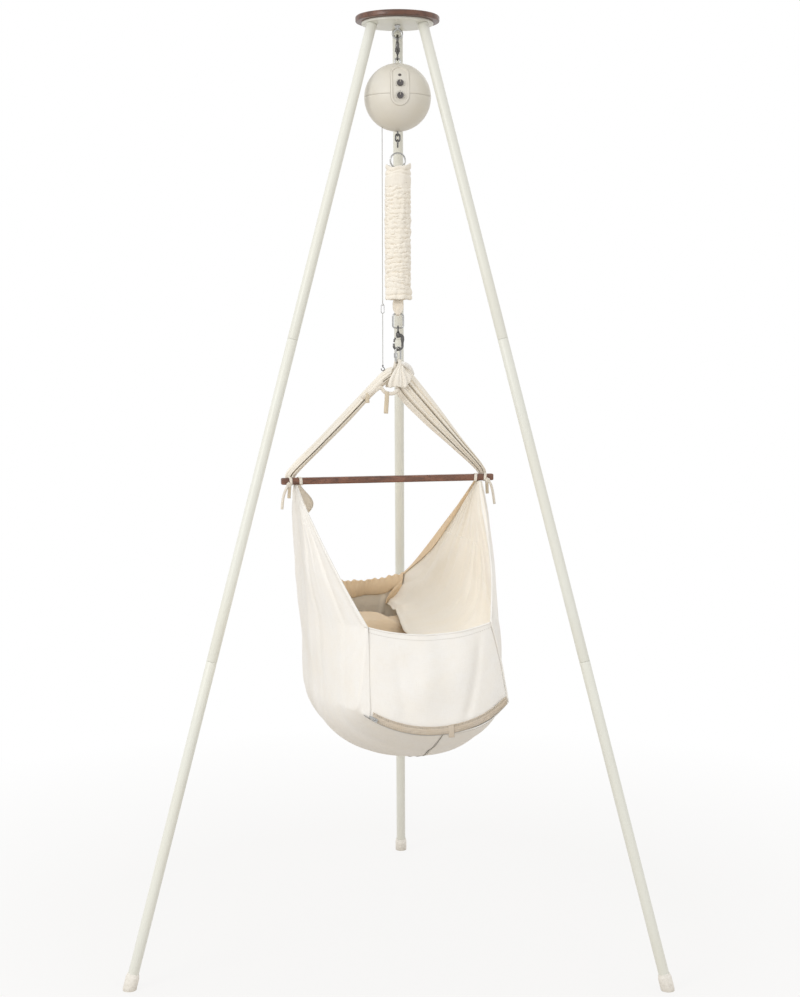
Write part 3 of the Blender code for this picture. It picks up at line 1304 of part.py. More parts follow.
def make_ties(cradle):
    """A ribbon at each end that lashes the cloth's neck to the bar, with its knot and tails."""
    reach = NECK_WIDTH / 2 + RIBBON + 2 * GAP
    under = BAR_Z - BAR_SIZE / 2 - GAP
    for name, sign in (("bar_tie_right", 1), ("bar_tie_left", -1)):
        x = sign * TIE_SPREAD / 2
        first = bar_ring(name, x - reach - RIBBON_WIDTH / 2 + RIBBON)
        second = bar_ring(name + "_second", x + reach + RIBBON_WIDTH / 2 - RIBBON)
        band = neck_band(name + "_band", x, reach)
        knot_x = x + sign * (reach + RIBBON_WIDTH / 2)
        front = -BAR_SIZE / 2 - GAP - KNOT / 2
        knot = lathe(name + "_knot", [(0, KNOT / 2), (KNOT * 0.4, KNOT * 0.33), (KNOT / 2, 0), (KNOT * 0.4, -KNOT * 0.33),
                                       (0, -KNOT / 2)], 8, Matrix.Translation((knot_x, front, under + 0.001)))
        pieces = [second, band, knot]
        for k, (run, drop) in enumerate(((0.012, 0.052), (0.004, 0.026))):
            start = Vector((knot_x, front, under + 0.001))
            stop = start + Vector((sign * run, -0.001, -drop))
            pieces.append(ribbon_strip(name + "_tail_%d" % k, start, stop, RIBBON_WIDTH * 0.7))
        seat(applied(union(first, *pieces)), cradle, "ribbon", True, 0)


def ribbon_strip(name, start, stop, width):
    """A straight length of ribbon seen from the front."""
    along = (stop - start).normalized()
    across = Vector((along.z, 0, -along.x)).normalized() * (width / 2)
    out = Vector((0, RIBBON / 2, 0))
    rings = [[p - across - out, p + across - out, p + across + out, p - across + out] for p in (start, stop)]
    return loft(name, rings)


def build():
    for thing in list(bpy.data.objects):
        bpy.data.objects.remove(thing)
    stand = joint_frame("stand", (0, 0, 0))
    hook = joint_frame("hang_swing_axis", (0, 0, EYE_BAR_Z), stand)
    upper_gate = joint_frame("upper_gate_axis", (0, 0.0035, SWIVEL_Z + 0.0125), hook)
    swivel = joint_frame("hanger_turn_axis", (0, 0, SWIVEL_Z), hook)
    motor = joint_frame("hang_sway_axis", (0, 0, SWIVEL_BAR_Z), swivel)
    dials = {}
    for name, up in DIAL_UPS.items():
        dials[name] = joint_frame(name + "_axis", panel_turn(up) @ Vector((0, 0, MOTOR_RADIUS)), motor)
    reel = joint_frame("line_reel_axis", (LINE_X + REEL_RADIUS, 0, MOTOR_Z), motor)
    make_legs(stand)
    make_head(stand)
    make_upper_hook(hook, upper_gate, swivel)
    make_shells(motor)
    make_panel(motor, dials)
    make_motor_inside(motor, reel)
    ring_bar = make_links(motor)
    end = joint_frame("bounce_axis", (0, 0, ring_bar), motor)
    d_bar = make_spring(motor, end, ring_bar)
    lower = joint_frame("lower_turn_axis", (0, 0, d_bar), end)
    gate = joint_frame("lower_gate_axis", (-0.0058, 0, HOOK_BOSS_TOP - GATE_DROP), lower)
    nut = joint_frame("link_nut_axis", (0, 0, LINK_BAR_Z), lower)
    link_bar = make_lower_hook(end, lower, gate, nut, d_bar)
    cradle = joint_frame("cradle_rock_axis", (0, 0, link_bar), lower, turned=True)
    zip_middle = TURNED @ (zip_axis()[0] + Vector((HAMMOCK_ASIDE, 0, 0)))
    slider = joint_frame("zip_slider_axis", zip_middle, cradle, turned=True)
    make_pull_line(end, cradle, LONG_RING_TOP + CLIP_RISE, MOTOR_Z, LINK_BAR_Z - SHOULDER_DROP)
    make_apex(cradle, link_bar)
    make_straps(cradle, link_bar)
    make_bar(cradle)
    make_ties(cradle)
    make_slings(cradle)
    make_end_panels(cradle)
    make_zip(cradle, slider)
    make_mattress(cradle)
    centred(stand)


def centred(stand):
    """Moves the whole object so that the origin is the middle of its box, on the floor."""
    bpy.context.view_layer.update()
    points = [thing.matrix_world @ vert.co for thing in bpy.data.objects
              if thing.type == "MESH" and not thing.hide_render for vert in thing.data.vertices]
    for axis in (0, 1):
        low, high = (pick(point[axis] for point in points) for pick in (min, max))
        stand.location[axis] = -(low + high) / 2


build()
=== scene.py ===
"""Dresses the packed baby hammock and its stand in cloth, wood, paint and metal, on a plain pale stage."""

from math import cos, exp, hypot, pi, radians, sin, sqrt, tanh

import bmesh
import bpy
from bpy.props import FloatProperty, FloatVectorProperty, IntProperty, PointerProperty
from mathutils import Matrix, Vector, noise


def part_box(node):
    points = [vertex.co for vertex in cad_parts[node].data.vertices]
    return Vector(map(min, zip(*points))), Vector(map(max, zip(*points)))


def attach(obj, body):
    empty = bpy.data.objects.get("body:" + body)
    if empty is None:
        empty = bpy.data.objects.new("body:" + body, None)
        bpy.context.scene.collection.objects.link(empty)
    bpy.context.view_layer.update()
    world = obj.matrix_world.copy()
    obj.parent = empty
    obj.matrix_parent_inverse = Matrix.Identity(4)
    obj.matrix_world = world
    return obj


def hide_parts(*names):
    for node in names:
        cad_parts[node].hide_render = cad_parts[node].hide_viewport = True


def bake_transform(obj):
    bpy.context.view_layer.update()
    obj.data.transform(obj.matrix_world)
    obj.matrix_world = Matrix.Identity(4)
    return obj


bl_info = {
    "name": "Baby hammock with stand",
    "version": (1, 0, 0),
    "blender": (4, 5, 0),
    "location": "3D View > Sidebar > Hammock",
    "description": "Makes the pieces of a spring-hung baby hammock round its packed frame",
    "category": "Object",
}

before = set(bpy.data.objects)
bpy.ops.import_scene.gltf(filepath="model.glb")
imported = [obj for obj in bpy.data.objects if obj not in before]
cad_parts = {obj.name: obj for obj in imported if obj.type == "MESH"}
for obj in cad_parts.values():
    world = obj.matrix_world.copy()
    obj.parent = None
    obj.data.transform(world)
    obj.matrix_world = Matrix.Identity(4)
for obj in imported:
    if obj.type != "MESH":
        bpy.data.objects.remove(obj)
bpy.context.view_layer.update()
DISC_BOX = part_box("top_disc")
AXIS_Y = (DISC_BOX[0].y + DISC_BOX[1].y) / 2
TAU = 2 * pi

# The stand, in metres.
DISC_RADIUS = 0.089
PLATE_RADIUS = 0.076
LEG_REACH = 0.635
LEG_TOP_REACH = 0.061
TUBE_RADIUS = 0.011
SCREW_CIRCLE = 0.056

# The motor's shell and panel, and how far each control is turned up from the front of the ball, in degrees.
SHELL = 0.0025
PANEL_LENGTH = 0.089
PANEL_WIDTH = 0.040
PANEL_UP = 17.8
SPEED_UP = 17.2
TIMER_UP = -3.6
LAMP_UP = 33.8
INLET_TURN = -112

# Wires, rings and the pull line.
WIRE = 0.0035
LINK_HEIGHT = 0.0155
LINK_WIDTH = 0.009
RING_RADIUS = 0.01575
SWIVEL_RADIUS = 0.0055
STEM = 0.0025
LINE_X, LINE_Y = -0.033, -0.006

# Places on the stand's upright axis.
STAND_HEIGHT = 2.0
PLATE_TOP = 1.9877
PLATE_UNDER = 1.9827
EYE_Z = 1.9642
EYE_RING = 0.019
UPPER_TURN_Z = 1.9264
BAIL_Z = 1.91385
MOTOR_Z = 1.832
MOTOR_RADIUS = 0.071
LINK_TOPS = (1.7673, 1.7556, 1.7439)
RING_CENTRE_Z = 1.70045
RING_BAR_Z = 1.6847
D_BAR_Z = 1.37525
D_FOOT_Z = 1.34575
SLEEVE_TOP = 1.67995
SLEEVE_FOOT = 1.40645
LINK_CENTRE_Z = 1.28736

# The hammock's own sizes. Its pieces are laid out along the bar and then turned.
BAR_TURN = 13.5
BAR_SHIFT = -0.022
LINK_TURN = 50
TIE_SPREAD = 0.410
BAR_LENGTH = 0.470
BAR_SIZE = 0.0145
BAR_Z = 1.020
TIE_TOP = 1.01095
CORNER = (0.125, 0.360, 0.760)
ZIP_END = (0.150, 0.375, 0.600)
ZIP_BOW = 0.035
ZIP_DROP = 0.047
SLIDER_AT = -0.78
WALL_FOOT = (0.178, 0.585)
KEEL_Z = 0.430
PANEL_BOW = 0.012
PANEL_SAG = 0.017
V_CORNER = 0.40
V_ZIP = 0.64
CLOTH = 0.0022
BUNCH = 0.018
APEX_Z = 1.26995

# Rows of the cradle cloth's grid, and how they are shared by the seam, the zip and the turned front.
SLING_ROWS = 150
FLAP_COLUMNS = 20
SIDE_ROWS = 36
FOOT_ROWS = 54

UPRIGHT = Matrix.Translation((0, AXIS_Y, 0))
HANGING = UPRIGHT @ Matrix.Rotation(radians(BAR_TURN), 4, "Z") @ Matrix.Translation((BAR_SHIFT, 0, 0))


def seen(red, green, blue):
    """A colour given as the eye sees it, from 0 to 255, in Blender's own values."""
    parts = [value / 255 for value in (red, green, blue)]
    return tuple(p / 12.92 if p <= 0.04045 else ((p + 0.055) / 1.055) ** 2.4 for p in parts)


def chosen():
    """The sizes that are set in the panel."""
    return bpy.context.scene.hammock_sizes


def length_of(name, description, default):
    return FloatProperty(name=name, description=description, default=default, min=0.0, unit="LENGTH")


def colour_of(name, description, default):
    return FloatVectorProperty(name=name, description=description, default=default, min=0.0, max=1.0,
                               size=3, subtype="COLOR")


class HammockSizes(bpy.types.PropertyGroup):
    """Sizes of the cloth and the cords that a user would change."""

    gather: length_of("Gather depth", "How deep the cloth's gathers are below the bar", 0.0062)
    ruche: length_of("Ruche depth", "How deep the folds of the spring's sleeve are", 0.0040)
    ruches: IntProperty(name="Ruches", description="Folds of the spring's sleeve", default=26, min=6, max=40)
    line: length_of("Line thickness", "Diameter of the pull line", 0.0016)
    stitch: length_of("Stitch pitch", "Distance from one stitch to the next", 0.0048)
    weave: length_of("Weave pitch", "Distance between the cloth's threads", 0.0011)


class HammockColours(bpy.types.PropertyGroup):
    """Colours that a user would change."""

    walnut: colour_of("Walnut", "Lighter tone of the dark wood", seen(138, 94, 75))
    paint: colour_of("Paint", "Powder coat of the legs", seen(229, 230, 222))
    plastic: colour_of("Plastic", "Moulded shells of the motor", seen(224, 220, 210))
    cotton: colour_of("Cotton", "Cloth of the hammock", seen(246, 244, 240))
    lining: colour_of("Lining", "Unbleached cloth of the pad and the elastic band", seen(236, 214, 184))
    ribbon: colour_of("Ribbon", "Tape of the ties", seen(243, 237, 227))
    zip_tape: colour_of("Zip tape", "Tape of the zip", seen(214, 202, 186))


# Finishes
class Amount:
    """A number that varies over a surface. Sums on it add Math nodes."""

    def __init__(self, finish, socket):
        self.finish = finish
        self.socket = socket

    def sum_of(self, operation, first, second=0.0):
        return self.finish.node("ShaderNodeMath", {"operation": operation}, {0: first, 1: second})

    def __add__(self, other):
        return self.sum_of("ADD", self, other)

    def __sub__(self, other):
        return self.sum_of("SUBTRACT", self, other)

    def __rsub__(self, other):
        return self.sum_of("SUBTRACT", other, self)

    def __mul__(self, other):
        return self.sum_of("MULTIPLY", self, other)

    def __pow__(self, other):
        return self.sum_of("POWER", self, other)

    __radd__ = __add__
    __rmul__ = __mul__

    def wave(self):
        """From 0 to 1 and back for each turn of 1."""
        return self.sum_of("SINE", self * TAU) * 0.5 + 0.5

    def over(self, low, high):
        """0 below low and 1 above high."""
        return self.finish.node("ShaderNodeMapRange", {}, {"Value": self, "From Min": low, "From Max": high})


class Finish:
    """A material, made node by node."""

    def __init__(self, name, colour, roughness, **fixed):
        self.material = bpy.data.materials.new(name)
        self.material.use_nodes = True
        self.tree = self.material.node_tree
        self.shader = self.tree.nodes["Principled BSDF"]
        self.colour = colour
        self.shader.inputs["Roughness"].default_value = roughness
        self.shader.inputs["Base Color"].default_value = (*colour, 1)
        for socket, value in fixed.items():
            self.shader.inputs[socket.replace("_", " ").title().replace("Ior", "IOR")].default_value = value
        self.height = None

    def node(self, kind, settings, inputs, out=0):
        """Adds one node. Its settings come first, then the values or links of its sockets."""
        made = self.tree.nodes.new(kind)
        for key, value in settings.items():
            setattr(made, key, value)
        for key, value in inputs.items():
            self.feed(made.inputs[key], value)
        return Amount(self, made.outputs[out])

    def feed(self, socket, value):
        if isinstance(value, Amount):
            self.tree.links.new(value.socket, socket)
        elif isinstance(value, (tuple, list, Vector)) and socket.type == "RGBA" and len(value) == 3:
            socket.default_value = (*value, 1)
        else:
            socket.default_value = value

    def place(self, kind="Object", scale=(1, 1, 1), turn=(0, 0, 0), shift=(0, 0, 0)):
        """Coordinates of the object or its UV map, moved, turned and scaled."""
        at = self.node("ShaderNodeTexCoord", {}, {}, kind)
        return self.node("ShaderNodeMapping", {},
                         {"Vector": at, "Location": shift, "Rotation": turn, "Scale": scale})

    def part(self, vector, axis):
        return self.node("ShaderNodeSeparateXYZ", {}, {0: vector}, axis)

    def noise(self, vector, scale, detail=2.0, roughness=0.5):
        return self.node("ShaderNodeTexNoise", {}, {"Vector": vector, "Scale": scale, "Detail": detail,
                                                    "Roughness": roughness})

    def mix(self, share, first, second):
        return self.node("ShaderNodeMix", {"data_type": "RGBA"}, {0: share, 6: first, 7: second}, 2)

    def set(self, socket, value):
        self.feed(self.shader.inputs[socket], value)

    def bump(self, height, distance, strength=1.0):
        self.set("Normal", self.node("ShaderNodeBump", {}, {"Strength": strength, "Distance": distance,
                                                            "Height": height}))


def darker(colour, share):
    return tuple(value * share for value in colour)


def warmer(colour, share):
    red, green, blue = colour
    return red, green * (1 - share * 0.35), blue * (1 - share)


def cotton_finish(name, colour, pitch, warm=0.06):
    """Woven cotton: threads, slubs, a cloudy tone and soft wear."""
    made = Finish(name, colour, 0.86, sheen_weight=0.1, sheen_roughness=0.55, specular_ior_level=0.22)
    at = made.place("UV")
    across, along = made.part(at, "X"), made.part(at, "Y")
    warp = (across * (1 / pitch)).wave()
    weft = (along * (1 / pitch)).wave()
    threads = warp * weft + (1 - warp) * (1 - weft)
    slub = made.noise(made.place("UV", (60, 900, 1)), 1.0, 2.0) * 0.6
    slub = slub + made.noise(made.place("UV", (900, 50, 1)), 1.0, 2.0) * 0.6
    cloud = made.noise(made.place("UV"), 14.0, 4.0, 0.6)
    tone = made.mix(cloud.over(0.35, 0.75), colour, warmer(colour, warm))
    tone = made.mix((slub - 0.5).over(0.05, 0.28) * 0.3, tone, darker(warmer(colour, warm), 0.88))
    made.set("Base Color", tone)
    made.set("Roughness", slub * 0.12 + 0.76)
    puckers = made.noise(made.place("UV"), 60.0, 3.0, 0.55)
    made.bump(threads * 0.12 + slub * 0.10 + puckers * 2.2, 0.0006, 0.45)
    return made.material


def tape_finish(name, colour, pitch):
    """Ribbed woven tape for ribbons, webbing and the zip."""
    made = Finish(name, colour, 0.74, sheen_weight=0.1, specular_ior_level=0.3)
    at = made.place("UV")
    rib = (made.part(at, "Y") * (1 / pitch)).wave()
    edge = (made.part(at, "X") * (0.6 / pitch)).wave()
    cloud = made.noise(made.place("UV"), 30.0, 3.0)
    tone = made.mix(cloud.over(0.3, 0.8), colour, warmer(colour, 0.14))
    made.set("Base Color", made.mix(rib * 0.22, tone, darker(colour, 0.72)))
    made.set("Roughness", cloud * 0.2 + 0.62)
    made.bump(rib * 0.8 + edge * 0.3, 0.0004, 0.6)
    return made.material


def wood_finish(name, colour, along, turn=0.0):
    """Dark stained walnut under satin varnish, its grain along one axis of the piece."""
    made = Finish(name, colour, 0.42, coat_weight=0.25, coat_roughness=0.25)
    scale = [55.0, 55.0, 55.0]
    scale[along] = 3.2
    at = made.place("Object", tuple(scale), (0, 0, turn))
    warp = made.noise(at, 1.0, 4.0, 0.6)
    rings = (made.part(at, "Y") * 0.9 + made.part(at, "Z") * 0.55 + warp * 2.6).wave()
    pores = made.noise(made.place("Object", tuple(value * 9 for value in scale), (0, 0, turn)), 1.0, 2.0)
    tone = made.mix(rings, darker(colour, 0.42), colour)
    tone = made.mix(warp.over(0.35, 0.7), tone, warmer(darker(colour, 0.75), 0.25))
    tone = made.mix(pores.over(0.58, 0.7) * 0.75, tone, darker(colour, 0.18))
    made.set("Base Color", tone)
    made.set("Roughness", pores * 0.25 + 0.30)
    made.bump(rings * 0.25 - pores.over(0.55, 0.75) * 0.6, 0.0005, 0.5)
    return made.material


def paint_finish(name, colour):
    """Satin powder coat with a fine orange peel, a few scuffs and a duller foot."""
    made = Finish(name, colour, 0.4, coat_weight=0.12, coat_roughness=0.3)
    at = made.place()
    peel = made.noise(at, 750.0, 2.0)
    cloud = made.noise(at, 5.0, 3.0)
    scuff = made.noise(made.place("Object", (160, 160, 22)), 1.0, 4.0, 0.7)
    low = 1 - made.part(at, "Z").over(0.0, 0.28)
    worn = scuff.over(0.66, 0.74) * (low * 0.5 + 0.12)
    tone = made.mix(cloud.over(0.3, 0.75), colour, warmer(colour, 0.05))
    made.set("Base Color", made.mix(worn, tone, darker(warmer(colour, 0.1), 0.62)))
    made.set("Roughness", cloud * 0.12 + worn * 0.3 + 0.34)
    made.bump(peel + scuff.over(0.6, 0.8) * 0.6, 0.0003, 0.4)
    return made.material


def metal_finish(name, colour, roughness, scratch=1.0):
    """Plated steel: hairline scratches, fingerprints and a slightly uneven polish."""
    made = Finish(name, colour, roughness, metallic=1.0)
    at = made.place()
    smear = made.noise(at, 90.0, 3.0)
    lines = made.noise(made.place("Object", (260, 260, 2600), (0.5, 0.3, 0)), 1.0, 3.0)
    spots = made.noise(at, 520.0, 2.0)
    tone = made.mix(smear.over(0.4, 0.7) * 0.6, colour, darker(warmer(colour, 0.06), 0.62))
    made.set("Base Color", made.mix(spots.over(0.66, 0.74) * 0.5 * scratch, tone, darker(colour, 0.5)))
    made.set("Roughness", smear * 0.16 + lines.over(0.5, 0.75) * 0.14 * scratch + (roughness - 0.06))
    made.bump(lines * 0.6 + spots * 0.3, 0.0002, 0.35 * scratch)
    return made.material


def plastic_finish(name, colour, grain, roughness):
    """Moulded plastic with a fine sparked texture."""
    made = Finish(name, colour, roughness, specular_ior_level=0.45)
    at = made.place()
    spark = made.noise(at, grain, 2.0)
    cloud = made.noise(at, 24.0, 3.0)
    tone = made.mix(cloud.over(0.3, 0.8), colour, warmer(colour, 0.06))
    made.set("Base Color", made.mix(spark.over(0.62, 0.78) * 0.25, tone, darker(colour, 0.82)))
    made.set("Roughness", spark * 0.14 + cloud * 0.08 + (roughness - 0.1))
    made.bump(spark, 0.0003, 0.45)
    return made.material


def cord_finish(name, colour):
    """Braided cord, its strands crossing round the line."""
    made = Finish(name, colour, 0.6, sheen_weight=0.1)
    at = made.place()
    climb = made.part(at, "Z") * 420.0
    side = made.part(at, "X") * 900.0
    strands = (climb + side).wave() * (climb - side).wave()
    # Painted shade: the colour darkens in the grooves between the strands, where the bump sinks.
    tone = made.mix(strands, darker(colour, 0.7), colour)
    made.set("Base Color", tone)
    made.set("Roughness", 0.7 - strands * 0.15)
    made.bump(strands, 0.0004, 0.6)
    return made.material


def rubber_finish(name, colour):
    """Matt rubber with dust and a dirtier foot."""
    made = Finish(name, colour, 0.72, specular_ior_level=0.3)
    at = made.place()
    dust = made.noise(at, 180.0, 4.0, 0.65)
    # The colour darkens with the dust and evenly within 2 cm of the floor.
    low = 1 - made.part(at, "Z").over(0.0, 0.02)
    dust_and_foot_darkening = dust.over(0.45, 0.75) * 0.3 + low * 0.25
    made.set("Base Color", made.mix(dust_and_foot_darkening, colour, darker(warmer(colour, 0.15), 0.55)))
    made.set("Roughness", dust * 0.2 + 0.62)
    made.bump(dust, 0.0004, 0.4)
    return made.material


def board_finish(name):
    """Green solder mask with pale tracks and dark parts."""
    made = Finish(name, seen(44, 106, 70), 0.45)
    at = made.place("Object", (1, 240, 240))
    tracks = (made.part(at, "Y") + made.noise(at, 1.0, 2.0) * 1.5).wave().over(0.8, 0.9)
    parts = made.node("ShaderNodeTexVoronoi", {}, {"Vector": at, "Scale": 0.35}).over(0.25, 0.3)
    tone = made.mix(tracks * 0.6, seen(40, 98, 64), seen(120, 150, 96))
    made.set("Base Color", made.mix(parts, seen(30, 30, 32), tone))
    made.set("Roughness", tracks * 0.2 + 0.35)
    made.bump(tracks + (1 - parts), 0.0006, 0.5)
    return made.material


MADE = {}


def finish(name):
    """The named finish, made when it is first asked for."""
    if name in MADE:
        return MADE[name]
    tone, weave = bpy.context.scene.hammock_colours, chosen().weave
    cotton, ribbon, lining, tape = map(tuple, (tone.cotton, tone.ribbon, tone.lining, tone.zip_tape))
    recipes = {
        "disc walnut": (wood_finish, darker(tuple(tone.walnut), 0.72), 0),
        "bar walnut": (wood_finish, tuple(tone.walnut), 0, radians(-BAR_TURN)),
        "powder coat": (paint_finish, tuple(tone.paint)),
        "chrome": (metal_finish, (0.50, 0.50, 0.49), 0.16),
        "gunmetal": (metal_finish, (0.15, 0.145, 0.14), 0.26),
        "spring steel": (metal_finish, (0.42, 0.42, 0.42), 0.35),
        "shell plastic": (plastic_finish, tuple(tone.plastic), 1300.0, 0.42),
        "dark plastic": (plastic_finish, seen(88, 85, 86), 1500.0, 0.45),
        "pale mark": (plastic_finish, seen(214, 208, 196), 1500.0, 0.5),
        "lamp lens": (plastic_finish, seen(96, 88, 84), 1500.0, 0.2),
        "foot rubber": (rubber_finish, seen(238, 234, 226)),
        "cotton": (cotton_finish, cotton, weave),
        # The inside faces of the cloth: the same cotton made warmer, as painted shade for the dimmer,
        # warm-lit inside of the cradle.
        "inner cotton": (cotton_finish, warmer(cotton, 0.09), weave),
        "lining": (cotton_finish, lining, weave),
        "strap cotton": (cotton_finish, darker(warmer(cotton, 0.08), 0.97), weave, 0.09),
        "pad cotton": (cotton_finish, darker(lining, 0.92), weave),
        "ribbon": (tape_finish, ribbon, 0.0009),
        "tan ribbon": (tape_finish, warmer(darker(ribbon, 0.86), 0.2), 0.0009),
        "zip tape": (tape_finish, tape, 0.0012),
        "thread": (cord_finish, darker(warmer(cotton, 0.12), 0.72)),
        "dark thread": (cord_finish, darker(warmer(cotton, 0.2), 0.45)),
        "seam thread": (cord_finish, darker(warmer(cotton, 0.16), 0.56)),
        "line": (cord_finish, seen(214, 214, 210)),
        "board": (board_finish,),
    }
    make, *details = recipes[name]
    MADE[name] = make(name, *details)
    return MADE[name]


# Shapes
def shown(name, data):
    """A new object with this data, linked to the scene."""
    thing = bpy.data.objects.new(name, data)
    bpy.context.scene.collection.objects.link(thing)
    return thing


def meshed(name, bm):
    """A mesh made from a bmesh, which is freed."""
    mesh = bpy.data.meshes.new(name)
    bm.to_mesh(mesh)
    bm.free()
    return mesh


def shaped(mesh):
    """A bmesh made from a mesh, which is removed."""
    made = bmesh.new()
    made.from_mesh(mesh)
    bpy.data.meshes.remove(mesh)
    return made


def facing_out(bm):
    """Turns the faces of a closed shape outwards."""
    bmesh.ops.recalc_face_normals(bm, faces=bm.faces)


def moved(bm, matrix):
    """Moves a whole shape."""
    bmesh.ops.transform(bm, matrix=matrix, verts=bm.verts)


def kept(name, bm, looks, body, place=UPRIGHT, nodes=(), sharp=38):
    """A finished piece from a bmesh: placed, smooth but for its sharp edges, and riding on its body."""
    moved(bm, place)
    mesh = meshed(name, bm)
    mesh.shade_smooth()
    if sharp:
        mesh.set_sharp_from_angle(angle=radians(sharp))
    piece = shown(name, mesh)
    for look in [looks] if isinstance(looks, str) else looks:
        mesh.materials.append(finish(look))
    if body:
        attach(piece, body)
    if nodes:
        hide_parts(*nodes)
    return piece


def sewn(name, bm, looks, nodes=(), sharp=0):
    """A finished piece that hangs with the hammock, laid out along the bar."""
    return kept(name, bm, looks, "hammock", HANGING, nodes, sharp)


def lifted(z, *profile):
    """A profile of radius and height, raised by z."""
    return [(radius, z + height) for radius, height in profile]


def spun(profile, steps=64, bm=None, place=None):
    """A turned shape: a profile of radius and height, spun about Z."""
    own = bmesh.new()
    verts = [own.verts.new((radius, 0, z)) for radius, z in profile]
    edges = [own.edges.new(pair) for pair in zip(verts, verts[1:])]
    if profile[0][0] > 0 and profile[-1][0] > 0:
        edges.append(own.edges.new((verts[-1], verts[0])))
    bmesh.ops.spin(own, geom=verts + edges, cent=(0, 0, 0), axis=(0, 0, 1), angle=TAU, steps=steps,
                   use_merge=True)
    bmesh.ops.remove_doubles(own, verts=own.verts, dist=1e-6)
    facing_out(own)
    if place is not None:
        moved(own, place)
    if bm is None:
        return own
    return joined(bm, own)


def joined(bm, other):
    """The other bmesh's shape added to the first."""
    mesh = meshed("part", other)
    bm.from_mesh(mesh)
    bpy.data.meshes.remove(mesh)
    return bm


def arc(centre, radius, start, stop, steps, plane="xz"):
    """Points on an arc in a plane, in degrees from its first axis."""
    points = []
    for i in range(steps + 1):
        angle = radians(start + (stop - start) * i / steps)
        a, b = radius * cos(angle), radius * sin(angle)
        shift = {"xz": (a, 0, b), "yz": (0, a, b), "xy": (a, b, 0)}[plane]
        points.append(Vector(centre) + Vector(shift))
    return points


def stadium(centre, length, width, steps=12, plane="xz"):
    """A closed outline with straight sides and round ends, its length along the plane's second axis."""
    radius, half = width / 2, (length - width) / 2
    up = Vector((0, 1, 0)) if plane == "xy" else Vector((0, 0, 1))
    centre = Vector(centre)
    return (arc(centre + up * half, radius, 0, 180, steps, plane)
            + arc(centre - up * half, radius, 180, 360, steps, plane))


def pill_outline(length, width, steps=20, sides=14):
    """A closed outline with round ends, with points along its straight sides too."""
    ends = stadium((0, 0, 0), length, width, steps, "xy")
    upper, lower = ends[:steps + 1], ends[steps + 1:]
    down = [upper[-1].lerp(lower[0], k / sides) for k in range(1, sides)]
    back = [lower[-1].lerp(upper[0], k / sides) for k in range(1, sides)]
    return upper + down + lower + back


def smoothed(points, steps=6):
    """A smooth open curve through points, with so many steps between two of them."""
    points = [Vector(p) for p in points]
    result = []
    for i in range(len(points) - 1):
        before, after = points[max(i - 1, 0)], points[min(i + 2, len(points) - 1)]
        a, b = points[i], points[i + 1]
        for k in range(steps):
            t = k / steps
            result.append(0.5 * (2 * a + (b - before) * t + (2 * before - 5 * a + 4 * b - after) * t ** 2
                                 + (3 * a - before - 3 * b + after) * t ** 3))
    return result + [points[-1]]


def rod(points, thickness, closed=False, sides=4, taper=None):
    """A round wire or cord along points, as a bmesh."""
    curve = bpy.data.curves.new("rod", "CURVE")
    curve.dimensions = "3D"
    curve.bevel_depth = thickness / 2
    curve.bevel_resolution = sides
    curve.use_fill_caps = not closed
    spline = curve.splines.new("POLY")
    spline.points.add(len(points) - 1)
    for i, (mark, point) in enumerate(zip(spline.points, points)):
        mark.co = (*point, 1)
        mark.radius = taper(i / (len(points) - 1)) if taper else 1.0
    spline.use_cyclic_u = closed
    holder = shown("rod", curve)
    mesh = bpy.data.meshes.new_from_object(holder.evaluated_get(bpy.context.evaluated_depsgraph_get()))
    bpy.data.objects.remove(holder)
    bpy.data.curves.remove(curve)
    made = shaped(mesh)
    bmesh.ops.remove_doubles(made, verts=made.verts, dist=1e-7)
    facing_out(made)
    return made


def skin(columns, rows, at, size=(1, 1), joins=False):
    """A grid laid on a surface: at(u, v) gives its points, and its UV map is in metres."""
    made = bmesh.new()
    layer = made.loops.layers.uv.new("UVMap")
    bmesh.ops.create_grid(made, x_segments=columns, y_segments=rows, size=0.5, calc_uvs=True)
    for face in made.faces:
        for loop in face.loops:
            loop[layer].uv = (loop[layer].uv.x * size[0], loop[layer].uv.y * size[1])
    for vert in made.verts:
        u, v = round((vert.co.x + 0.5) * columns) / columns, round((vert.co.y + 0.5) * rows) / rows
        vert.co = at(u, v)
    if joins:
        bmesh.ops.remove_doubles(made, verts=made.verts, dist=1e-5)
    return made


def rivet(bm, half, shoulder, radius, steps, place):
    """A small domed button, as tall above its middle as below, added to a bmesh."""
    return spun([(0, -half), (shoulder, 0.0002 - half), (radius, 0), (shoulder, half - 0.0002), (0, half)],
                steps, bm, place)


def thickened(piece, thickness, offset=0.0, inner=0):
    """Gives a sheet its thickness. inner is how many slots further on the inside's finish is."""
    wall = piece.modifiers.new("thickness", "SOLIDIFY")
    wall.thickness = thickness
    wall.offset = offset
    wall.use_even_offset = False
    wall.material_offset = inner
    wall.material_offset_rim = 0
    return piece


def raised(bm, height):
    """Makes a flat shape a prism of this height."""
    top = bmesh.ops.extrude_face_region(bm, geom=bm.faces[:])
    bmesh.ops.translate(bm, vec=(0, 0, height),
                        verts=[v for v in top["geom"] if isinstance(v, bmesh.types.BMVert)])
    facing_out(bm)


def rounded(bm, soft, segments):
    """Rounds every edge of a bmesh."""
    bmesh.ops.bevel(bm, geom=bm.edges[:], offset=soft, segments=segments, profile=0.5, affect="EDGES",
                    material=-1)


def block(bm, low, high, soft=0.0, segments=2, place=None):
    """A block between two corners with rounded edges, added to a bmesh."""
    own = bmesh.new()
    bmesh.ops.create_cube(own, size=1)
    low, high = Vector(low), Vector(high)
    bmesh.ops.scale(own, vec=high - low, verts=own.verts)
    bmesh.ops.translate(own, vec=(low + high) / 2, verts=own.verts)
    if soft:
        rounded(own, soft, segments)
    if place is not None:
        moved(own, place)
    return joined(bm, own)


def mix(a, b, share):
    """The number at a share of the way from a to b."""
    return a + (b - a) * share


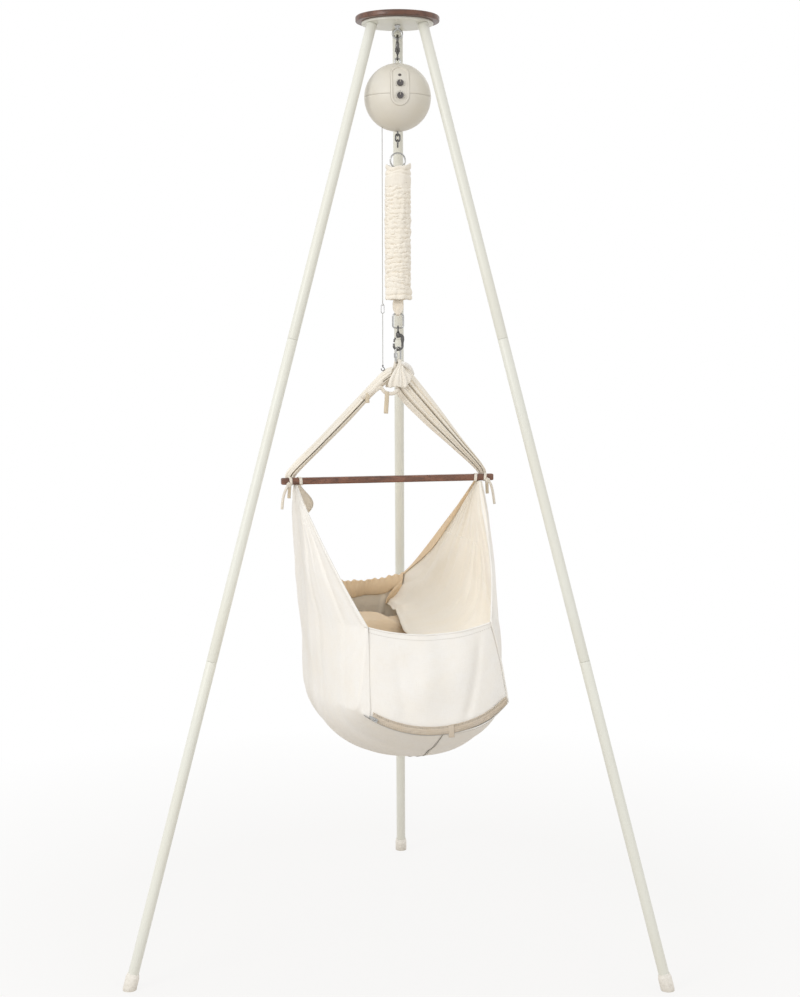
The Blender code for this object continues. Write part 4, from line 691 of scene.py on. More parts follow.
def ease(share):
    """A smooth step: 0 up to 0, 1 from 1 on."""
    share = min(1.0, max(0.0, share))
    return share * share * (3 - 2 * share)


def ripple(x, y, z=0.0):
    """A smooth uneven height between -1 and 1, the same at each run."""
    return noise.noise(Vector((x, y, z))) * 1.6


# Stand
def leg_axis(azimuth):
    """Foot, top and turn of one leg."""
    angle = radians(azimuth)
    outward = Vector((cos(angle), sin(angle), 0))
    foot, top = outward * LEG_REACH, outward * LEG_TOP_REACH + Vector((0, 0, PLATE_UNDER))
    along = (top - foot).normalized()
    return foot, top, Vector((0, 0, 1)).rotation_difference(along).to_matrix().to_4x4()


LEGS = {"left": 210, "right": 330, "rear": 90}


def make_head():
    """The turned disc, the plate with its welded collars and screws, and the eye bolt."""
    under, top_round, low_round = PLATE_TOP + 0.0003, 0.0035, 0.0025
    profile = [(radius, STAND_HEIGHT) for radius in (0, 0.03, 0.06, DISC_RADIUS - top_round)]
    profile += [(DISC_RADIUS - top_round * (1 - sin(a)), STAND_HEIGHT - top_round * (1 - cos(a)))
                for a in (0.3, 0.6, 0.9, 1.2, 1.57)]
    profile += [(DISC_RADIUS - low_round * (1 - cos(a)), under + low_round * (1 - sin(a)))
                for a in (0.0, 0.4, 0.8, 1.2, 1.57)]
    profile += [(0.02, under), (0.0092, under), (0.0088, under + 0.008), (0, under + 0.008)]
    kept("wooden_disc", spun(profile, 128), "disc walnut", "stand", nodes=["top_disc"], sharp=50)
    bore, flat, chamfer = 0.0043, PLATE_RADIUS - 0.001, PLATE_RADIUS - 0.0003
    plate = spun([(bore, PLATE_TOP), (flat, PLATE_TOP), (chamfer, PLATE_TOP - 0.0003),
                  (PLATE_RADIUS, PLATE_TOP - 0.001), (PLATE_RADIUS, PLATE_UNDER + 0.001),
                  (chamfer, PLATE_UNDER + 0.0003), (flat, PLATE_UNDER), (bore, PLATE_UNDER)], 112)
    for azimuth in LEGS.values():
        _, top, turn = leg_axis(azimuth)
        place = Matrix.Translation(top) @ turn
        stud = [(0, -0.030), (0.0082, -0.030), (0.0092, -0.029), (0.0092, 0.001), (0, 0.001)]
        spun(stud, 40, plate, place)
        weld = [(0.0105, -0.0022), (0.0122, -0.0016), (0.0134, 0.0006), (0.0134, 0.0030), (0.0105, 0.0030)]
        spun(weld, 40, plate, place)
    for i in range(3):
        angle = radians(30 + 120 * i)
        spot = Matrix.Translation((SCREW_CIRCLE * cos(angle), SCREW_CIRCLE * sin(angle), PLATE_UNDER))
        head = [(0, -0.0011), (0.0006, -0.0012), (0.0016, -0.0023), (0.0030, -0.0019), (0.0044, -0.0009),
                (0.00475, 0), (0.00475, 0.0008), (0, 0.0008)]
        spun(head, 28, plate, spot)
    kept("leg_mounting_plate", plate, "powder coat", "stand", nodes=["leg_plate"], sharp=30)
    bolt_top, ring_top = 1.9948, EYE_Z + EYE_RING / 2
    shoulder = lifted(PLATE_UNDER, (0.004, -0.0003), (0.0063, -0.0003), (0.0065, -0.0010),
                      (0.0060, -0.0030), (0.0040, -0.0065))
    bolt = spun([(0, bolt_top), (0.0034, bolt_top), (0.004, bolt_top - 0.0006)] + shoulder
                + [(0.0031, ring_top + 0.001), (0.0028, ring_top - 0.001), (0, ring_top - 0.001)], 40)
    joined(bolt, rod(arc((0, 0, EYE_Z), EYE_RING / 2, 0, 352, 44), 0.005, True, 6))
    kept("eye_under_plate", bolt, "chrome", "stand", nodes=["eye_bolt"], sharp=45)
    steel = finish("chrome")
    for node in ("eye_nut", "gear_motor"):
        repaint(node, steel)


def repaint(node, material):
    """A CAD node whose shape is right gets a better finish."""
    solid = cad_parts[node]
    solid.data.materials.clear()
    solid.data.materials.append(material)


def make_legs():
    """Nine tubes with rolled edges at their joints, and three ribbed rubber feet."""
    foot, top, _ = leg_axis(90)
    whole = (top - foot).length
    lean = (top - foot).normalized().z
    stop = whole - TUBE_RADIUS * sqrt(1 - lean ** 2) / lean - 0.0003
    lows = (0.008, whole / 3 + 0.0003, 2 * whole / 3 + 0.0003)
    highs = (whole / 3, 2 * whole / 3, stop)
    for side, azimuth in LEGS.items():
        foot, _, turn = leg_axis(azimuth)
        place = UPRIGHT @ Matrix.Translation(foot) @ turn
        for kind, low, high in zip(("lower", "middle", "upper"), lows, highs):
            profile = lifted(low, (0.0095, 0), (0.0103, 0), (0.0108, 0.0003))
            profile += [(TUBE_RADIUS, mix(low + 0.0009, high - 0.0009, k / 4)) for k in range(5)]
            profile += lifted(high, (0.0108, -0.0003), (0.0103, 0))
            if kind == "upper":
                profile.append((0.0095, high))
            else:
                profile += lifted(high, (0.0092, 0), (0.0092, 0.0396), (0.0088, 0.040), (0.0077, 0.040),
                                  (0.0077, -0.004), (0.0095, -0.008))
            kept("tube_%s_%s" % (kind, side), spun(profile, 48), "powder coat", "stand", place,
                 ["leg_%s_%s" % (kind, side)], 30)
        rubber = [(0, -0.009), (0.0085, -0.009), (0.0105, -0.0078), (0.0128, -0.004), (0.0137, 0.000),
                  (0.014, 0.004)]
        for ring_z in (0.0085, 0.0125, 0.0165):
            rubber += lifted(ring_z, (0.014, 0), (0.0136, 0.0004), (0.0136, 0.0010), (0.014, 0.0014))
        rubber += [(0.014, 0.0265), (0.0136, 0.0288), (0.0127, 0.0298), (0.0126, 0.0325), (0.0121, 0.0336),
                   (0.0113, 0.034), (0.0113, 0.0077), (0, 0.0077)]
        ferrule = spun(rubber, 56)
        moved(ferrule, Matrix.Translation(foot) @ turn)
        everything = ferrule.verts[:] + ferrule.edges[:] + ferrule.faces[:]
        cut = bmesh.ops.bisect_plane(ferrule, geom=everything, dist=1e-6, plane_co=(0, 0, 0),
                                     plane_no=(0, 0, 1), clear_inner=True)
        rim = [edge for edge in cut["geom_cut"] if isinstance(edge, bmesh.types.BMEdge)]
        bmesh.ops.contextual_create(ferrule, geom=rim)
        kept("rubber_foot_" + side, ferrule, "foot rubber", "stand", nodes=["foot_" + side], sharp=35)


# Hooks and rings
def snap_hook(width, height, thickness, boss_top, boss_height, boss_radius, bore):
    """A snap hook's body in the xz plane, bow down: a bored boss, a thicker spine, the bow and its nose."""
    half = (width - thickness) / 2
    bow = boss_top - height + thickness / 2 + half
    foot = boss_top - boss_height
    spine = [(boss_radius * 0.8, 0, boss_top - boss_height * 0.5), (half * 0.9, 0, foot + 0.0004),
             (half, 0, foot - 0.006), (half, 0, bow + half * 0.35)]
    route = smoothed(spine, 6) + arc((0, 0, bow), half, 0, -180, 28)[1:]
    route.append(Vector((-half * 0.98, 0, bow + half * 0.45)))

    def girth(share):
        return 1 + 0.55 * ease((0.36 - share) / 0.12) - 0.18 * ease((share - 0.93) / 0.07)

    boss = lifted(boss_top, (bore, 0), (boss_radius - 0.0009, 0), (boss_radius - 0.0002, -0.0004),
                  (boss_radius, -0.0012))
    boss += lifted(foot, (boss_radius, 0.0012), (boss_radius - 0.0004, 0.0004), (boss_radius - 0.0012, 0),
                   (bore, 0))
    made = spun(boss, 40)
    joined(made, rod(route, thickness, sides=6, taper=girth))
    return made, half, bow


def swivel_ring(ring_z):
    """The small ring of a swivel, round a wire that passes along x."""
    return rod(arc((0, 0, ring_z), SWIVEL_RADIUS, 0, 350, 36, "yz"), 0.0034, True, 5)


def make_hanger():
    """The snap hook, its gate and the swivel eye between the stand's eye and the motor."""
    half_turn = Matrix.Rotation(pi / 2, 4, "Z") @ Matrix.Rotation(pi, 4, "Y")
    boss = 0.009
    body, half, bow = snap_hook(0.021, 0.0365, 0.0052, 0.0, boss, 0.0055, STEM + 0.0003)
    place = UPRIGHT @ Matrix.Translation((0, 0, UPPER_TURN_Z)) @ half_turn
    kept("upper_snap_hook", body, "gunmetal", "hanger_hook", place, ["upper_hook"], 40)
    low = Vector((0, half * 0.42, UPPER_TURN_Z + 0.0125))
    high = Vector((0, half * 0.98, UPPER_TURN_Z - bow - half * 0.45 - 0.0029))
    gate = rod(smoothed([low, low.lerp(high, 0.5), high], 6), 0.00375, sides=5)
    thumb = low.lerp(high, 0.45) + Vector((0, 0.0018, 0))
    rivet(gate, 0.0012, 0.0010, 0.0014, 20, Matrix.Translation(thumb) @ Matrix.Rotation(pi / 2, 4, "X"))
    kept("upper_hook_gate", gate, "gunmetal", "hanger_gate", nodes=["upper_gate"], sharp=40)
    ring_z = 1.9099 + SWIVEL_RADIUS
    eye = swivel_ring(ring_z)
    stem = lifted(UPPER_TURN_Z + boss, (0, 0.0026), (STEM + 0.0004, 0.0024), (STEM + 0.0012, 0.0015),
                  (STEM + 0.0012, 0.0003), (STEM, 0.0003))
    stem += lifted(UPPER_TURN_Z, (STEM, -0.0003), (STEM + 0.0012, -0.0010), (STEM + 0.0010, -0.0026))
    spun(stem + lifted(ring_z, (0.0016, 0.0050), (0, 0.0048)), 36, eye)
    kept("upper_swivel_eye", eye, "gunmetal", "hanger_swivel", nodes=["upper_swivel"], sharp=40)


# Motor
def on_ball(up, aside=5.0):
    """The place on the front of the ball where a piece's +Z points out."""
    return (Matrix.Translation((0, 0, MOTOR_Z)) @ Matrix.Rotation(radians(aside), 4, "Z")
            @ Matrix.Rotation(radians(90 - up), 4, "X"))


def cut_with(bm, cutters):
    """Subtracts shapes from a bmesh by exact Booleans."""
    holder = shown("cut", meshed("cut", bm))
    tools = [shown("cutter", meshed("cutter", cutter)) for cutter in cutters]
    for tool in tools:
        step = holder.modifiers.new("cut", "BOOLEAN")
        step.operation = "DIFFERENCE"
        step.solver = "EXACT"
        step.object = tool
    depsgraph = bpy.context.evaluated_depsgraph_get()
    result = bpy.data.meshes.new_from_object(holder.evaluated_get(depsgraph))
    for thing in tools + [holder]:
        shape = thing.data
        bpy.data.objects.remove(thing)
        bpy.data.meshes.remove(shape)
    return shaped(result)


def pill(width, length, low, high, place):
    """A prism with round ends along a panel's axis, for a cutter."""
    made = bmesh.new()
    outline = stadium((0, 0, low), length, width, 20, "xy")
    made.faces.new([made.verts.new(p) for p in outline[:-1]])
    raised(made, high - low)
    moved(made, place)
    return made


def half_ball(sign):
    """Half of the ball's wall, with a small round edge at the parting line and its lip."""
    outer, inner = MOTOR_RADIUS, MOTOR_RADIUS - SHELL
    steps = 36
    quarter = [pi / 2 * i / steps for i in range(steps)]
    profile = [(outer * sin(a), outer * cos(a)) for a in quarter]
    parting, lip = 0.00015, 0.0025
    profile += [(outer - 0.00005, 0.0009), (outer - 0.0003, 0.0004), (outer - 0.0008, parting)]
    if sign > 0:
        profile += [(outer - 0.0014, parting), (outer - 0.0014, -lip), (inner, -lip), (inner, 0.0002)]
    else:
        profile += [(outer - 0.0010, parting), (outer - 0.0010, lip + 0.0005), (inner, lip + 0.0009)]
    profile += [(inner * sin(a), inner * cos(a)) for a in reversed(quarter[:-1])]
    made = spun(profile, 112)
    place = Matrix.Translation((0, 0, MOTOR_Z)) @ Matrix.Diagonal((1, 1, sign, 1))
    moved(made, place)
    facing_out(made)
    return made


def panel_skin():
    """The dished pill panel with its rounded rim, laid on the ball."""
    dish = 0.0012
    insets = [(0.0, -0.0052), (0.0, -0.0006), (0.0001, 0.0003), (0.0004, 0.0008), (0.0009, 0.0010),
              (0.0020, 0.0010), (0.0034, 0.0010), (0.0040, 0.0008), (0.0044, 0.0003), (0.0046, -0.0004),
              (0.0049, -0.0010), (0.0055, -dish)]
    insets += [(0.0055 + 0.0145 * share, -dish) for share in (0.2, 0.4, 0.6, 0.8, 1.0)]
    outlines = [pill_outline(PANEL_LENGTH - 2 * inset, PANEL_WIDTH - 2 * inset) for inset, _ in insets]
    around, rows = len(outlines[0]), len(insets) - 1

    def at(u, v):
        row = round(v * rows)
        point = outlines[row][round(u * around) % around]
        radius = MOTOR_RADIUS + insets[row][1]
        return Vector((point.x, point.y, sqrt(radius ** 2 - point.x ** 2 - point.y ** 2)))

    made = skin(around, rows, at, (0.2, 0.02), True)
    facing_out(made)
    return made


def make_dial(name, up, body):
    """A knurled knob with a domed rim and a pale pointer."""
    place = UPRIGHT @ on_ball(up)
    base = MOTOR_RADIUS - 0.0007
    marks = lifted(base, (0.0, 0.0002), (0.0068, 0.0002), (0.0070, 0.0004), (0.0070, 0.0034),
                   (0.0068, 0.0040), (0.0062, 0.0046), (0.0054, 0.0049), (0.0046, 0.0046), (0.0030, 0.0045),
                   (0.0, 0.0045))
    teeth, around, tooth = 24, 144, 0.00045

    def at(u, v):
        radius, z = marks[round(v * (len(marks) - 1))]
        if radius > 0.0065:
            radius -= tooth * (0.5 + 0.5 * tanh(3 * cos(u * TAU * teeth)))
        return Vector((radius * cos(u * TAU), radius * sin(u * TAU), z))

    knob = skin(around, len(marks) - 1, at, (0.044, 0.012), True)
    facing_out(knob)
    spun([(0, base - 0.0085), (0.0023, base - 0.0085), (0.0023, base + 0.001), (0, base + 0.001)], 24, knob)
    kept(name + "_knob", knob, "dark plastic", body, place, [name], 32)
    low, high = (-0.00045, 0.0008, base + 0.0040), (0.00045, 0.0058, base + 0.0052)
    pointer = block(bmesh.new(), low, high, 0.0002)
    kept(name + "_pointer", pointer, "pale mark", body, place)


def make_motor():
    """The ball's shells, its panel, the dials, ticks and lamp, and what is inside."""
    inlet = Matrix.Translation((0, 0, MOTOR_Z)) @ Matrix.Rotation(radians(INLET_TURN), 4, "X")
    for name, sign in (("upper_shell", 1), ("lower_shell", -1)):
        low, high = sorted((MOTOR_Z + sign * 0.060, MOTOR_Z + sign * 0.080))
        cutters = [pill(PANEL_WIDTH + 0.0006, PANEL_LENGTH + 0.0006, 0.035, 0.085, on_ball(PANEL_UP)),
                   block(bmesh.new(), (-0.008, -0.00225, low), (0.008, 0.00225, high))]
        if sign < 0:
            line_hole = lifted(MOTOR_Z, (0, -0.08), (0.0028, -0.08), (0.0028, -0.03), (0, -0.03))
            cutters.append(spun(line_hole, 24, place=Matrix.Translation((LINE_X, LINE_Y, 0))))
            cutters.append(spun([(0, 0.05), (0.0052, 0.05), (0.0052, 0.08), (0, 0.08)], 32, place=inlet))
        shell = cut_with(half_ball(sign), cutters)
        kept("ball_" + name, shell, "shell plastic", "motor", nodes=[name], sharp=35)
    panel_place = UPRIGHT @ on_ball(PANEL_UP)
    kept("dished_panel", panel_skin(), "shell plastic", "motor", panel_place, ["control_panel"], 50)
    make_dial("speed_dial", SPEED_UP, "speed_knob")
    make_dial("timer_dial", TIMER_UP, "timer_knob")
    make_lamp_and_ticks()
    make_load_frame()
    rim = lifted(MOTOR_RADIUS + 0.0005, (0.0049, -0.0002), (0.0064, -0.0002), (0.0066, 0.0004),
                 (0.0062, 0.0011), (0.0054, 0.0013), (0.0032, 0.0012), (0.0030, 0.0009))
    pin = lifted(MOTOR_RADIUS - 0.0005, (0.0009, -0.0002), (0.0006, 0), (0, 0))
    socket = spun([(0, 0.056), (0.0049, 0.056)] + rim + [(0.0030, 0.060), (0.0009, 0.060)] + pin, 40)
    kept("supply_socket", socket, "dark plastic", "motor", UPRIGHT @ inlet, ["power_inlet"], 40)
    repaint("line_reel", finish("dark plastic"))
    repaint("circuit_board", finish("board"))


def make_lamp_and_ticks():
    """The lamp's lens in its bezel, and the ticks round both dials."""
    place = UPRIGHT @ on_ball(LAMP_UP)
    lens = spun([(0, 0.0640), (0.0024, 0.0640), (0.0024, 0.0699), (0.0021, 0.0703), (0.0013, 0.0706),
                 (0, 0.0707)], 32)
    kept("lamp_lens", lens, "lamp lens", "motor", place, ["status_lamp"], 50)
    bezel = spun([(0.0025, 0.0694), (0.0034, 0.0694), (0.0034, 0.0701), (0.0031, 0.0704), (0.0027, 0.0704),
                  (0.0025, 0.0701)], 40)
    kept("lamp_bezel", bezel, "dark plastic", "motor", place)
    marks = bmesh.new()
    for up in (SPEED_UP, TIMER_UP):
        for k in range(9):
            turn = on_ball(up) @ Matrix.Rotation(radians(-120 + 30 * k), 4, "Z")
            tip = 0.0096 if k % 4 else 0.0102
            block(marks, (-0.0002, 0.0083, 0.0685), (0.0002, tip, 0.06985), place=turn)
    kept("dial_ticks", marks, "dark plastic", "motor")


def make_load_frame():
    """The steel plate inside the ball with a bail at each end."""
    plate = block(bmesh.new(), (-0.021, -0.0015, MOTOR_Z - 0.050), (0.021, 0.0015, MOTOR_Z + 0.050), 0.0006)
    hole = block(bmesh.new(), (-0.006, -0.004, MOTOR_Z - 0.036), (0.012, 0.004, MOTOR_Z + 0.036))
    plate = cut_with(plate, [hole])
    half, low_bail = 0.00575, 1.76528
    for sign, top in ((1, BAIL_Z + WIRE / 2), (-1, low_bail)):
        bend = top - sign * (WIRE / 2 + half)
        inside = MOTOR_Z + sign * 0.042
        route = [Vector((half, 0, inside)), Vector((half, 0, mix(inside, bend, 0.5)))]
        route += arc((0, 0, bend), half, 0, sign * 180, 24)
        route += [Vector((-half, 0, mix(inside, bend, 0.5))), Vector((-half, 0, inside))]
        joined(plate, rod(route, WIRE, sides=6))
    kept("bails_and_frame", plate, "chrome", "motor", nodes=["load_frame"], sharp=40)


def make_chain():
    """Three links and the ring that the spring's webbing hangs from."""
    for i, top in enumerate(LINK_TOPS):
        plane = "yz" if i % 2 == 0 else "xz"
        loop = stadium((0, 0, top - LINK_HEIGHT / 2), LINK_HEIGHT, LINK_WIDTH, 16, plane)
        link = rod(loop[:-1], WIRE, True, 6)
        weld_z = top - LINK_HEIGHT / 2 - 0.00005
        weld = (0, LINK_WIDTH / 2, weld_z) if plane == "yz" else (LINK_WIDTH / 2, 0, weld_z)
        rivet(link, 0.0012, 0.0015, 0.0019, 24, Matrix.Translation(weld))
        number = str(i + 1)
        kept("chain_link_" + number, link, "gunmetal", "motor", nodes=["motor_link_" + number], sharp=50)
    ring = rod(arc((0, 0, RING_CENTRE_Z), RING_RADIUS, 0, 356, 72), WIRE, True, 6)
    kept("round_ring", ring, "chrome", "motor", nodes=["spring_ring"], sharp=50)


# Spring, sleeve and webbing
def webbing(name, high, low, body, node):
    """A closed band of webbing over two bars, gathered where it bends. A bar is its height and reach."""
    drop = high[0] - low[0]

    def bend(bar, sign):
        turns = [pi * k / 24 for k in range(25)]
        return [(bar[0] + sign * bar[1] * sin(a), sign * bar[1] * cos(a), 1.0) for a in turns]

    def straight(start, end, sign):
        rows = []
        for share in (k / 12 for k in range(1, 12)):
            slack = sin(pi * share)
            rows.append((start[0] - sign * drop * share,
                         -sign * (mix(start[1], end[1], share) + 0.0010 * slack), 1 - slack))
        return rows

    marks = bend(high, 1) + straight(high, low, 1) + bend(low, -1) + straight(low, high, -1)
    marks.append(marks[0])
    last = len(marks) - 1

    def at(u, v):
        z, y, gathered = marks[round(v * last)]
        x = (u - 0.5) * 2
        crease = 0.0011 * tanh(6 * (x - 1.6 * (z - low[0]) / drop + 0.7)) * (1 - gathered)
        pleat = 0.0004 * cos(x * 9) * gathered
        half = mix(0.0118, 0.0044, gathered ** 1.5)
        side = 1 if y > 0 else -1
        return Vector((x * half, y + (crease + pleat) * side, z))

    cloth = skin(28, last, at, (0.0185, 2 * drop + 0.03), True)
    band = kept(name, cloth, "ribbon", body, nodes=[node], sharp=0)
    thickened(band, 0.0014)
    return band


def sleeve_radius(around, down, depth, count):
    """How far the sleeve's cloth stands from its axis: uneven ruches with sharp pinches between them."""
    turn = around * TAU
    x, y = cos(turn), sin(turn)
    sway = 1.9 * sin(turn + 5 * down) + 1.2 * sin(2 * turn + 2 + 11 * down)
    sway += 1.1 * ripple(3 * x, 3 * y, 9 * down)
    crest = abs(sin((count * TAU * down + sway) / 2)) ** 0.5
    swell = max(0.12, 0.62 + 0.75 * ripple(3.2 * x + 5, 3.2 * y, 26 * down))
    second = abs(sin((count * 1.63 * TAU * down - 1.3 * sway + 2 * y) / 2)) ** 0.6
    finer = max(0.0, 0.05 + 0.60 * ripple(2.6 * x, 2.6 * y + 9, 17 * down))
    dent = depth * ((1 - crest) * swell + (1 - second) * finer)
    return 0.0267 - dent + 0.0012 * ripple(4 * x, 4 * y, 22 * down)


def make_sleeve():
    """The gathered cloth sleeve over the spring, and its two stitched bands."""
    sizes = chosen()
    height = SLEEVE_TOP - SLEEVE_FOOT
    rows, around = 340, 112
    collar_share, hem, cap, neck = 0.030 / height, 0.020 / height, 0.05, 0.0098

    def ears(turn):
        return 0.0088 + 0.0030 * cos(2 * turn + 0.3) + 0.0016 * cos(5 * turn + 1)

    def at(u, v):
        turn = u * TAU
        if v < cap:
            share = v / cap
            radius = mix(neck, 0.0256, sin(share * pi / 2))
            radius += 0.0012 * cos(8 * turn) * share * (1 - share)
            z = SLEEVE_TOP + 0.0012 + (ears(turn) - 0.0012) * share ** 2
            return Vector((radius * cos(turn), radius * sin(turn), z))
        if v > 1 - cap:
            share = (1 - v) / cap
            radius = mix(neck, 0.0268 + 0.0010 * cos(9 * turn), sin(share * pi / 2))
            z = SLEEVE_FOOT + 0.0006 + 0.0010 * (1 - share) + 0.0012 * cos(7 * turn + 1) * share
            return Vector((radius * cos(turn), radius * sin(turn), z))
        down = (v - cap) / (1 - 2 * cap)
        z = mix(SLEEVE_TOP, SLEEVE_FOOT + 0.0006, down)
        z += ears(turn) * max(0.0, 1 - down / collar_share) ** 1.5
        z += 0.0012 * cos(7 * turn + 1) * ease((down - 1 + hem) / hem)
        ruched = ease((down - collar_share) / 0.03) * ease((1 - hem - down) / 0.02)
        plain = 0.0262 + 0.0006 * cos(3 * turn) + 0.0005 * cos(7 * turn + 20 * down)
        near_top = ease((collar_share * 0.55 - down) / (collar_share * 0.5))
        plain += 0.0011 * cos(2 * turn + 26 * down + 1) * near_top
        plain -= 0.0026 * exp(-((down - 0.026 - 0.005 * cos(3 * turn + 1)) / 0.008) ** 2)
        plain -= 0.0016 * exp(-((down - 0.050 - 0.010 * cos(2 * turn)) / 0.007) ** 2)
        if down > 1 - hem:
            tied = 1 - hem * 0.42 - 0.004 * cos(2 * turn + 2)
            plain -= 0.0022 * exp(-((down - tied) / 0.008) ** 2)
            plain += 0.0011 * ease((down - 1 + hem) / 0.02)
            plain += 0.0010 * cos(11 * turn + 2 * sin(3 * turn))
        if down < collar_share:
            plain -= 0.0007 * ease(1 - down / 0.02)
        radius = mix(plain, sleeve_radius(u, down, sizes.ruche, sizes.ruches), ruched)
        z += 0.0012 * ripple(3 * cos(turn), 3 * sin(turn), 30 * down) * ruched
        return Vector((radius * cos(turn), radius * sin(turn), z))

    tube = skin(around, rows, at, (0.168, 0.42), True)
    cloth = kept("spring_sleeve", tube, ["cotton", "inner cotton"], None, nodes=["sleeve"], sharp=0)
    thickened(cloth, 0.0012, -1, 1)
    start, end = (0, AXIS_Y, SLEEVE_TOP - 0.02), (0, AXIS_Y, SLEEVE_FOOT + 0.02)
    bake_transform(cloth)
    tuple(start)
    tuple(end)
    rings = []
    for down in (collar_share * 0.93, 1 - hem * 1.04):
        z = mix(SLEEVE_TOP, SLEEVE_FOOT + 0.0006, down)
        rings.append(arc((0, 0, z), 0.0266, 0, 360, 90, "xy"))
    seams = kept("sleeve_stitches", stitches(rings, sizes.stitch), "thread", None, sharp=0)
    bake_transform(seams)
    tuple(start)
    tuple(end)


def stitches(paths, pitch, thick=0.00042):
    """A row of thread stitches along each path."""
    made = bmesh.new()
    for path in paths:
        travelled, due = 0.0, pitch / 2
        for a, b in zip(path, path[1:]):
            step = (b - a).length
            while step > 1e-9 and travelled + step >= due:
                spot = a.lerp(b, (due - travelled) / step)
                turn = Vector((0, 0, 1)).rotation_difference(b - a).to_matrix().to_4x4()
                shape = Matrix.Translation(spot) @ turn @ Matrix.Diagonal((thick, thick, pitch * 0.36, 1))
                bmesh.ops.create_icosphere(made, subdivisions=1, radius=1, matrix=shape)
                due += pitch
            travelled += step
    return made


def make_spring():
    """The coil with its end eyes, the webbing at both ends, the sleeve and the long ring."""
    top_bar, low_bar, eye = RING_BAR_Z - 0.024, D_BAR_Z + 0.036, 0.0095
    webbing("upper_webbing", (RING_BAR_Z, 0.0042), (top_bar, 0.0036), "motor", "upper_loop")
    radius, curls, steps = 0.017, 13, 28
    high, low = top_bar - 2 * eye - 0.004, low_bar + 2 * eye + 0.004
    coil = [point + Vector((0, 0, mix(high, low, i / (steps * curls))))
            for i, point in enumerate(arc((0, 0, 0), radius, 0, 360 * curls, steps * curls, "xy"))]
    top_eye = arc((0, 0, top_bar - eye), eye, -60, 250, 26)
    low_eye = arc((0, 0, low_bar + eye), eye, 110, 420, 26)
    turns = rod(top_eye + coil + low_eye, 0.003, sides=4)
    wire = kept("coil_spring", turns, "spring steel", None, nodes=["spring"], sharp=60)
    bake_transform(wire)
    corner, width, height = 0.005, 0.0225, 0.0295
    frame = []
    for sx, sz, start in ((1, 1, 0), (-1, 1, 90), (-1, -1, 180), (1, -1, 270)):
        middle = (sx * (width / 2 - corner), 0, D_BAR_Z - height / 2 + sz * (height / 2 - corner))
        frame += arc(middle, corner, start, start + 90, 12)
    kept("long_ring", rod(frame, WIRE, True, 6), "chrome", "spring_end", nodes=["d_ring"], sharp=60)
    webbing("lower_webbing", (low_bar, 0.0036), (D_BAR_Z, 0.0034), "spring_end", "lower_loop")
    make_sleeve()


def make_line():
    """The pull line, its clip, and the tail that hooks on the hammock's shoulder."""
    sizes = chosen()
    x, y, clip_top, length, foot = LINE_X, LINE_Y, 1.396, 0.020, 1.2533
    top = MOTOR_Z
    spots = [Vector((x, y, mix(top, clip_top + 0.0003, i / 24))) for i in range(25)]
    line = kept("pull_cord", rod(spots, sizes.line, sides=4), "line", None, nodes=["pull_line"], sharp=0)
    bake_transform(line)
    loop = stadium((x, y, clip_top - length / 2), length - 0.0016, 0.0064, 14)
    clip = rod(loop[:-1], 0.0016, True, 5)
    crimp = [(0, -0.0022), (0.0016, -0.0022), (0.0019, -0.0016), (0.0019, 0.0016), (0.0016, 0.0022),
             (0, 0.0022)]
    spun(crimp, 24, clip, Matrix.Translation((x, y, clip_top - 0.0006)))
    kept("line_clip", clip, "chrome", "hammock", nodes=["line_tail"], sharp=50)
    route = [Vector((x, y, mix(clip_top - length + 0.0010, foot + 0.0100, i / 16))) for i in range(17)]
    tail = kept("tail_cord", rod(route, sizes.line, sides=4), "line", "hammock", sharp=0)
    bend = [Vector((x, y, foot + 0.0105))] + arc((x, y, foot + 0.0045), 0.0035, 90, -200, 22)
    hook = rod(bend, 0.0018, sides=5)
    knot = [(0, -0.0018), (0.0014, -0.0018), (0.0017, -0.0010), (0.0017, 0.0012), (0.0012, 0.0018),
            (0, 0.0018)]
    spun(knot, 20, hook, Matrix.Translation((x, y, foot + 0.0112)))
    small = kept("line_hook", hook, "gunmetal", "hammock", sharp=50)


